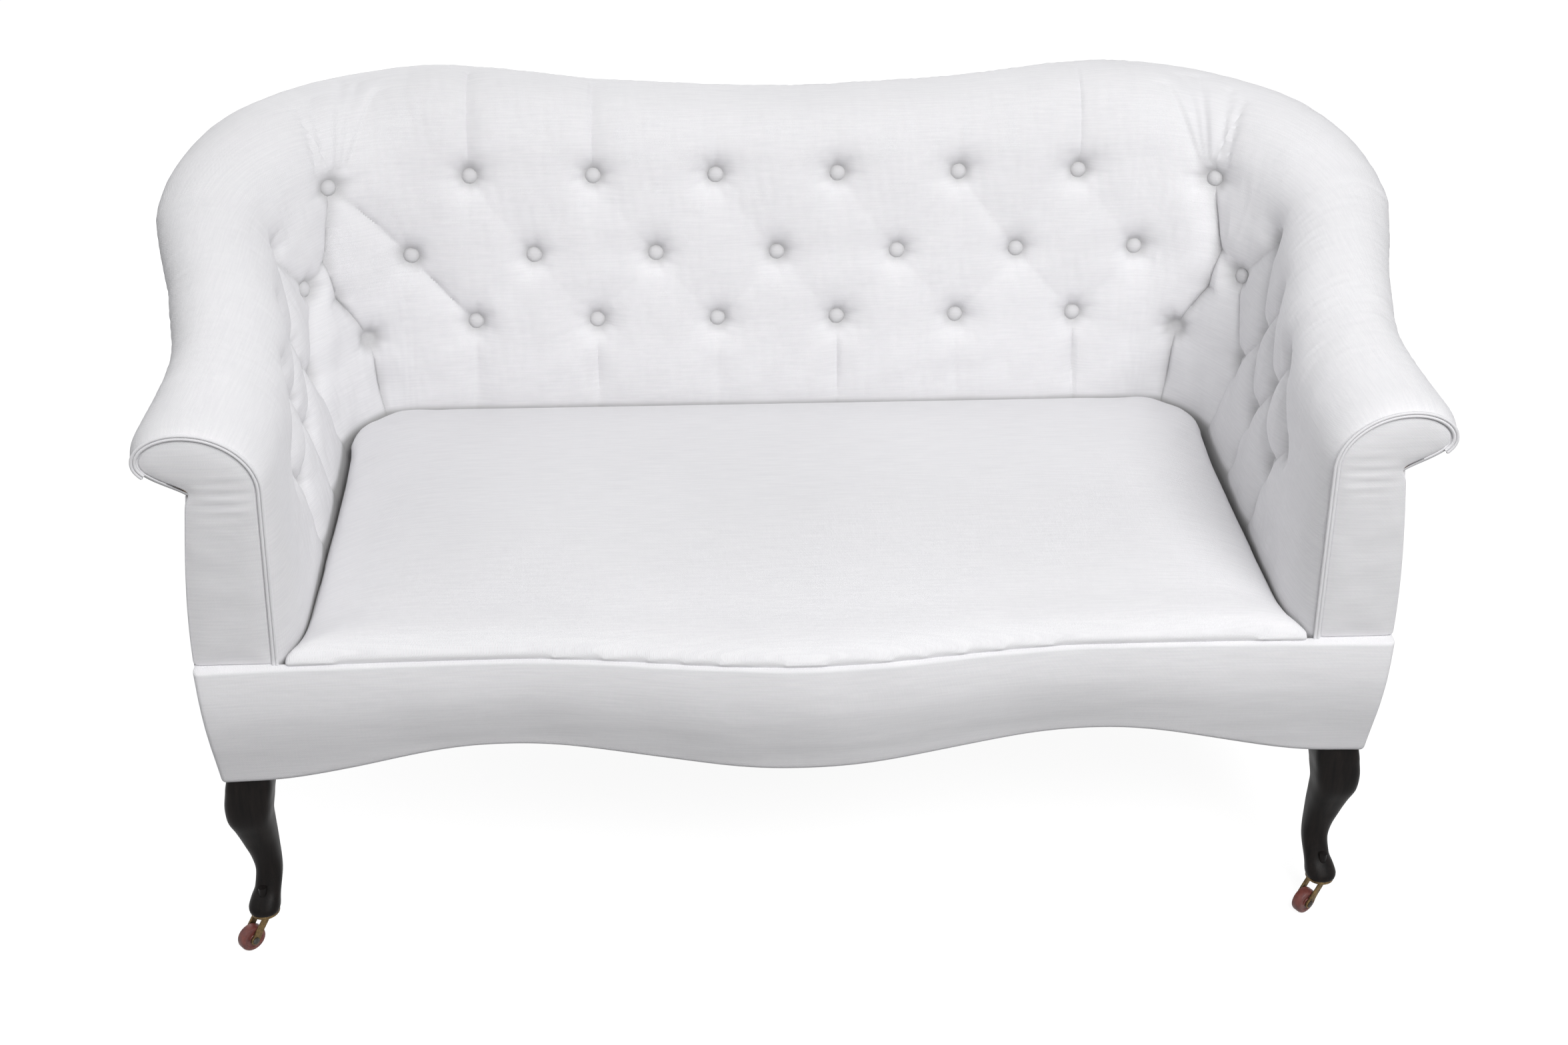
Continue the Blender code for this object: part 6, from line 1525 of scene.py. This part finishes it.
def dust_bay():
    """Plan of the space inside the seat rails, notched round the four legs."""
    offset = RAIL_INNER_OFFSET - 0.0008
    leg_back_y = FRONT_LEG_Y + LEG_HEAD / 2 + 0.0008
    leg_inner_x = FRONT_LEG_X - LEG_HEAD / 2 - 0.0008
    half = [(leg_inner_x, FRONT_RAIL_BACK_Y + 0.0008), (leg_inner_x, leg_back_y),
            (INSIDE_HALF_WIDTH + offset, leg_back_y)]
    leg_offset = REAR_LEG_OFFSET - REAR_LEG_HEAD / 2 - 0.0008
    notch = 1.6 * REAR_LEG_ROOM
    half += [at_offset(along, reach) for along, reach in (
        (ARM_START, offset), (ARM_START - RAIL_BEND, offset), (CORNER_SEAM + notch, leg_offset),
        (CORNER_SEAM - notch, leg_offset), (BACK_HALF + RAIL_BEND, offset), (BACK_HALF, offset))]
    return half + [(-x, y) for x, y in reversed(half)]


cambric_low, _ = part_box("dust_cover")
flat_cloth("dust_cover_cloth", "dust_cover", even_loop(dust_bay(), 0.014, 0), cambric_low.z, 0.0009, 0.004,
           CAMBRIC_CLOTH)

# Legs
# Beech, stained black and waxed to a soft shine. The front pair are bandsawn cabrioles with rounded
# knees and small pad feet; the rear pair rake backwards. Each foot is bored for its castor's stem.
FOOT_Z = 0.0450
BORE_RADIUS = 0.0047
BORE_TOP_Z = 0.0760
LEG_SIDES = 44
SQUARE_HEAD = 9.0
REAR_SHOULDER_Z = 0.2170
# Height, shift outwards, shift forwards, width, squareness of the section (2 is round)
CABRIOLE = (
    (0.2240, 0.0000, 0.0000, 0.050, 7.0), (0.2050, 0.0020, 0.0020, 0.053, 5.0),
    (0.1850, 0.0050, 0.0050, 0.053, 4.0), (0.1660, 0.0060, 0.0070, 0.050, 3.4),
    (0.1460, 0.0030, 0.0050, 0.044, 3.0), (0.1260, 0.0000, 0.0030, 0.039, 2.7),
    (0.1050, -0.0040, 0.0040, 0.033, 2.5), (0.0860, -0.0065, 0.0090, 0.030, 2.4),
    (0.0690, -0.0050, 0.0180, 0.030, 2.3), (0.0570, -0.0020, 0.0270, 0.034, 2.3),
    (0.0500, -0.0010, 0.0310, 0.036, 2.3), (FOOT_Z, -0.0010, 0.0320, 0.034, 2.3),
)


def ebonised():
    """Black-stained beech under wax: the pores just show, and the shine is uneven from handling."""
    material, tree, shader = new_material("ebonised_leg", 0.40)
    upward = stretched(tree, object_place(tree), (16.0, 16.0, 1.0))
    grain = noise(tree, upward, 9.0, 4.0, 0.6)
    tree.links.new(colour_ramp(tree, grain, ((0.35, (0.0050, 0.0045, 0.0044)), (0.75, (0.014, 0.011, 0.010)))),
                   shader.inputs["Base Color"])
    handled = tree.nodes.new("ShaderNodeMapRange")
    handled.inputs["To Min"].default_value = 0.34
    handled.inputs["To Max"].default_value = 0.52
    tree.links.new(noise(tree, object_place(tree), 22.0, 3.0), handled.inputs["Value"])
    tree.links.new(handled.outputs["Result"], shader.inputs["Roughness"])
    bump(tree, shader, noise(tree, upward, 55.0, 2.0), 0.00018, 0.5)
    shader.inputs["Specular IOR Level"].default_value = 0.10
    return material


EBONISED = ebonised()


def turned_square(centre_x, centre_y, z, size, squareness, turned=0.0):
    """Ring of a section between square and round, standing level."""
    angles = 2 * math.pi * (np.arange(LEG_SIDES) + 0.5) / LEG_SIDES
    x = np.sign(np.cos(angles)) * np.abs(np.cos(angles)) ** (2 / squareness) * size / 2
    y = np.sign(np.sin(angles)) * np.abs(np.sin(angles)) ** (2 / squareness) * size / 2
    return np.column_stack([centre_x + x * math.cos(turned) - y * math.sin(turned),
                            centre_y + x * math.sin(turned) + y * math.cos(turned), np.full(LEG_SIDES, z)])


def ringed_body(rings):
    """Points and faces of a closed body through a row of rings, its ends filled by fans."""
    sides = len(rings[0])
    points = np.vstack(rings + [rings[0].mean(0)[None], rings[-1].mean(0)[None]])
    return points, ring_faces(len(rings), sides) + end_fans(len(rings), sides)


def leg_place(word):
    """Where a leg's foot stands, from its castor's plate."""
    low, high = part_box("castor_plate_" + word)
    return (low.x + high.x) / 2, (low.y + high.y) / 2


def bored_foot(foot_x, foot_y, size, squareness, turned=0.0):
    """Rings that ease the foot's edge and run up its bore."""
    rings = [turned_square(foot_x, foot_y, FOOT_Z + 0.0006, size, squareness, turned),
             turned_square(foot_x, foot_y, FOOT_Z, size - 0.0016, squareness, turned)]
    angles = 2 * math.pi * (np.arange(LEG_SIDES) + 0.5) / LEG_SIDES + turned
    for z in (FOOT_Z, BORE_TOP_Z):
        rings.append(np.column_stack([foot_x + BORE_RADIUS * np.cos(angles), foot_y + BORE_RADIUS * np.sin(angles),
                                      np.full(LEG_SIDES, z)]))
    return rings


table = np.array(CABRIOLE[::-1])
for side, word in ((1, "right"), (-1, "left")):
    rings = [turned_square(side * FRONT_LEG_X, FRONT_LEG_Y, z, LEG_HEAD, SQUARE_HEAD) for z in (RAIL_TOP_Z, 0.2252)]
    rings.append(turned_square(side * FRONT_LEG_X, FRONT_LEG_Y, 0.2242, 0.0484, 7.0))
    for z in np.linspace(0.2236, FOOT_Z + 0.0012, 76):
        out, forward, size, squareness = (float(smooth_between(z, table[:, 0], table[:, k])) for k in range(1, 5))
        rings.append(turned_square(side * (FRONT_LEG_X + out), FRONT_LEG_Y - forward, z, size, squareness))
    foot_x, foot_y = leg_place("front_" + word)
    rings += bored_foot(foot_x, foot_y, 0.0335, 2.3)
    points, faces = ringed_body(rings)
    leg = cloth_object("cabriole_leg_" + word, points, faces, points[:, [0, 2]], EBONISED)
    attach(leg, "sofa")
    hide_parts("front_leg_" + word)

    head_x, head_y = at_offset(CORNER_SEAM, REAR_LEG_OFFSET)
    turned = side * -math.pi / 4
    rings = [turned_square(side * head_x, head_y, z, REAR_LEG_HEAD, SQUARE_HEAD, turned)
             for z in (RAIL_TOP_Z, REAR_SHOULDER_Z)]
    foot_x, foot_y = leg_place("rear_" + word)
    for share in np.linspace(0, 1, 40)[1:]:
        rake = share ** 1.25
        swell = 0.0016 * math.sin(math.pi * share) ** 2
        rings.append(turned_square(side * head_x + (foot_x - side * head_x) * rake, head_y + (foot_y - head_y) * rake,
                                   REAR_SHOULDER_Z + (FOOT_Z + 0.0012 - REAR_SHOULDER_Z) * share,
                                   REAR_LEG_HEAD - 0.010 * share + swell, SQUARE_HEAD - 3.5 * share, turned))
    rings += bored_foot(foot_x, foot_y, 0.0295, 5.5, turned)
    points, faces = ringed_body(rings)
    leg = cloth_object("raked_leg_" + word, points, faces, points[:, [0, 2]], EBONISED)
    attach(leg, "sofa")
    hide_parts("rear_leg_" + word)

# Castors
# Cast brass furniture castors gone dull with age. A plate and stem are driven into the leg, a horn
# swivels on the king pin, and a turned hardwood wheel runs on a riveted steel axle.
BRASS = polished_metal("castor_brass", (0.20, 0.135, 0.060), 0.45, (0.07, 0.050, 0.030), 140.0)
AXLE_STEEL = polished_metal("castor_iron", (0.09, 0.085, 0.080), 0.45, (0.04, 0.033, 0.028), 200.0)
PLATE_TOP_Z = FOOT_Z - GAP
PLATE_LOW_Z = PLATE_TOP_Z - 0.0035
HORN_TOP_Z = PLATE_LOW_Z - GAP
HORN_LOW_Z = HORN_TOP_Z - 0.0040
CASTOR_TRAIL = 0.0220
WHEEL_RADIUS = 0.0155
WHEEL_HALF = 0.0065
SLOT_HALF = WHEEL_HALF + 0.0008
HORN_HALF = SLOT_HALF + 0.0025
AXLE_RADIUS = 0.0024


def wheel_finish():
    """Turned hardwood in a dark red brown, faintly mottled and a little rough."""
    material, tree, shader = new_material("castor_wheel", 0.48)
    place = object_place(tree)
    marble = noise(tree, place, 90.0, 4.0, 0.6)
    tree.links.new(colour_ramp(tree, marble, ((0.30, (0.085, 0.020, 0.018)), (0.70, (0.20, 0.055, 0.042)))),
                   shader.inputs["Base Color"])
    bump(tree, shader, noise(tree, place, 700.0, 3.0), 0.00012, 0.7)
    return material


WHEEL_FINISH = wheel_finish()


def turned_body(profile, sides):
    """Points and faces of a body turned about Z, from a profile of (radius, z) that ends on the axis or closes."""
    angles = 2 * math.pi * np.arange(sides) / sides
    points, rows = [], []
    for radius, z in profile:
        if radius == 0:
            rows.append([len(points)])
            points.append((0.0, 0.0, z))
        else:
            rows.append(list(range(len(points), len(points) + sides)))
            points += [(radius * math.cos(t), radius * math.sin(t), z) for t in angles]
    pairs = list(zip(rows[:-1], rows[1:])) + ([(rows[-1], rows[0])] if profile[0][0] > 0 else [])
    faces = []
    for upper, lower in pairs:
        for k in range(sides):
            n = (k + 1) % sides
            if len(upper) == 1:
                faces.append((upper[0], lower[k], lower[n]))
            elif len(lower) == 1:
                faces.append((upper[k], lower[0], upper[n]))
            else:
                faces.append((upper[k], lower[k], lower[n], upper[n]))
    return np.array(points), faces


def chamfered(profile, ease):
    """Profile with each corner replaced by a short chamfer."""
    made = [profile[0]]
    for before, here, after in zip(profile[:-2], profile[1:-1], profile[2:]):
        for other in (before, after):
            length = math.hypot(other[0] - here[0], other[1] - here[1])
            share = min(ease / length, 0.4)
            made.append((here[0] + (other[0] - here[0]) * share, here[1] + (other[1] - here[1]) * share))
    return made + [profile[-1]]


def castor_piece(name, body, place, material, ride_on, node):
    """One castor part, set at its place and given to its body."""
    points, faces = body
    moved = np.column_stack([points, np.ones(len(points))]) @ np.array(place).T
    piece = cloth_object(name, moved[:, :3], faces, points[:, :2], material, math.radians(35))
    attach(piece, ride_on)
    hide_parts(node)


PLATE_PROFILE = chamfered([
    (0, PLATE_TOP_Z + 0.030), (0.0028, PLATE_TOP_Z + 0.030), (0.0042, PLATE_TOP_Z + 0.027),
    (0.0042, PLATE_TOP_Z), (0.0165, PLATE_TOP_Z), (0.0165, PLATE_LOW_Z), (0.0030, PLATE_LOW_Z),
    (0.0030, HORN_LOW_Z - GAP), (0.0048, HORN_LOW_Z - GAP), (0.0042, HORN_LOW_Z - GAP - 0.0014),
    (0, HORN_LOW_Z - GAP - 0.0016)], 0.0005)
AXLE_REACH = HORN_HALF + GAP
AXLE_PROFILE = ([(0, AXLE_REACH + 0.0014), (0.0026, AXLE_REACH + 0.0012), (0.0042, AXLE_REACH + 0.0003),
                 (0.0042, AXLE_REACH), (AXLE_RADIUS, AXLE_REACH), (AXLE_RADIUS, -AXLE_REACH), (0.0042, -AXLE_REACH),
                 (0.0042, -AXLE_REACH - 0.0003), (0.0026, -AXLE_REACH - 0.0012), (0, -AXLE_REACH - 0.0014)])
WHEEL_PROFILE = [(0.0029, WHEEL_HALF - 0.0004), (0.0052, WHEEL_HALF - 0.0004), (0.0058, WHEEL_HALF - 0.0011),
                 (0.0098, WHEEL_HALF - 0.0011), (0.0108, WHEEL_HALF - 0.0002), (0.0128, WHEEL_HALF),
                 (0.0146, WHEEL_HALF - 0.0010), (WHEEL_RADIUS, WHEEL_HALF - 0.0030)]
WHEEL_PROFILE += [(radius, -z) for radius, z in reversed(WHEEL_PROFILE)]


def horn_outline():
    """Side view of the horn in (trail, z): king boss, swept arms and round eyes."""
    line = [(-0.0090, HORN_LOW_Z + 0.0012), (-0.0090, HORN_TOP_Z), (0.0088, HORN_TOP_Z)]
    for t in np.linspace(math.radians(62), math.radians(-122), 15):
        line.append((CASTOR_TRAIL + 0.0056 * math.cos(t), WHEEL_RADIUS + 0.0056 * math.sin(t)))
    return line + [(0.0098, 0.0260), (0.0036, HORN_LOW_Z - 0.0030), (0.0016, HORN_LOW_Z)]


def slab(outline, low, high):
    """Points and faces of a flat plate across the castor, from its side view."""
    count = len(outline)
    points = [(t, low, z) for t, z in outline] + [(t, high, z) for t, z in outline]
    faces = [tuple(range(count)), tuple(reversed(range(count, 2 * count)))]
    faces += [(k, (k + 1) % count, (k + 1) % count + count, k + count) for k in range(count)]
    return np.array(points), faces


def horn_blank():
    """The horn at its own pivot, trailing along +X: sawn out between its cheeks and bored."""
    points, faces = slab(horn_outline(), -HORN_HALF, HORN_HALF)
    blank = cloth_object("horn_blank", points, faces, points[:, [0, 2]], BRASS)
    throat = CASTOR_TRAIL - WHEEL_RADIUS - 0.0035
    slot_line = [(-0.02, -0.01), (-0.02, HORN_LOW_Z), (throat, HORN_LOW_Z), (throat, HORN_TOP_Z + 0.01),
                 (0.05, HORN_TOP_Z + 0.01), (0.05, -0.01)]
    king = turned_body([(0, 0.06), (0.0035, 0.06), (0.0035, 0.01), (0, 0.01)], 32)
    eye_points, eye_faces = turned_body([(0, 0.03), (0.0029, 0.03), (0.0029, -0.03), (0, -0.03)], 32)
    eye_points = np.column_stack([eye_points[:, 0] + CASTOR_TRAIL, eye_points[:, 2], eye_points[:, 1] + WHEEL_RADIUS])
    cutters = [cloth_object(name, tool_points, tool_faces, tool_points[:, :2], BRASS)
               for name, (tool_points, tool_faces) in (("horn_slot", slab(slot_line, -SLOT_HALF, SLOT_HALF)),
                                                       ("horn_king", king), ("horn_eyes", (eye_points, eye_faces)))]
    for tool in cutters:
        cut = blank.modifiers.new(tool.name, "BOOLEAN")
        cut.operation = "DIFFERENCE"
        cut.object = tool
    edge = blank.modifiers.new("edge", "BEVEL")
    edge.width = 0.0006
    edge.segments = 2
    edge.limit_method = "ANGLE"
    edge.angle_limit = math.radians(40)
    mesh = applied(blank)
    shape = [np.array([tuple(v.co) for v in mesh.vertices]), [tuple(p.vertices) for p in mesh.polygons]]
    for made in cutters + [blank]:
        bpy.data.objects.remove(made, do_unlink=True)
    return shape


HORN = horn_blank()
PLATE = turned_body(PLATE_PROFILE, 40)
AXLE = turned_body(AXLE_PROFILE, 28)
WHEEL = turned_body(WHEEL_PROFILE, 56)
for word in ("front_right", "front_left", "rear_right", "rear_left"):
    foot_x, foot_y = leg_place(word)
    axle_low, axle_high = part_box("castor_axle_" + word)
    heading = math.atan2((axle_low.y + axle_high.y) / 2 - foot_y, (axle_low.x + axle_high.x) / 2 - foot_x)
    pivot = Matrix.Translation((foot_x, foot_y, 0)) @ Matrix.Rotation(heading, 4, "Z")
    spindle = pivot @ Matrix.Translation((CASTOR_TRAIL, 0, WHEEL_RADIUS)) @ Matrix.Rotation(math.pi / 2, 4, "X")
    castor_piece("castor_cup_" + word, PLATE, Matrix.Translation((foot_x, foot_y, 0)), BRASS, "sofa",
                 "castor_plate_" + word)
    castor_piece("castor_fork_" + word, HORN, pivot, BRASS, "swivel_" + word, "castor_horn_" + word)
    castor_piece("castor_rivet_" + word, AXLE, spindle, AXLE_STEEL, "swivel_" + word,
                 "castor_axle_" + word)
    castor_piece("castor_roller_" + word, WHEEL, spindle, WHEEL_FINISH, "wheel_" + word,
                 "castor_wheel_" + word)
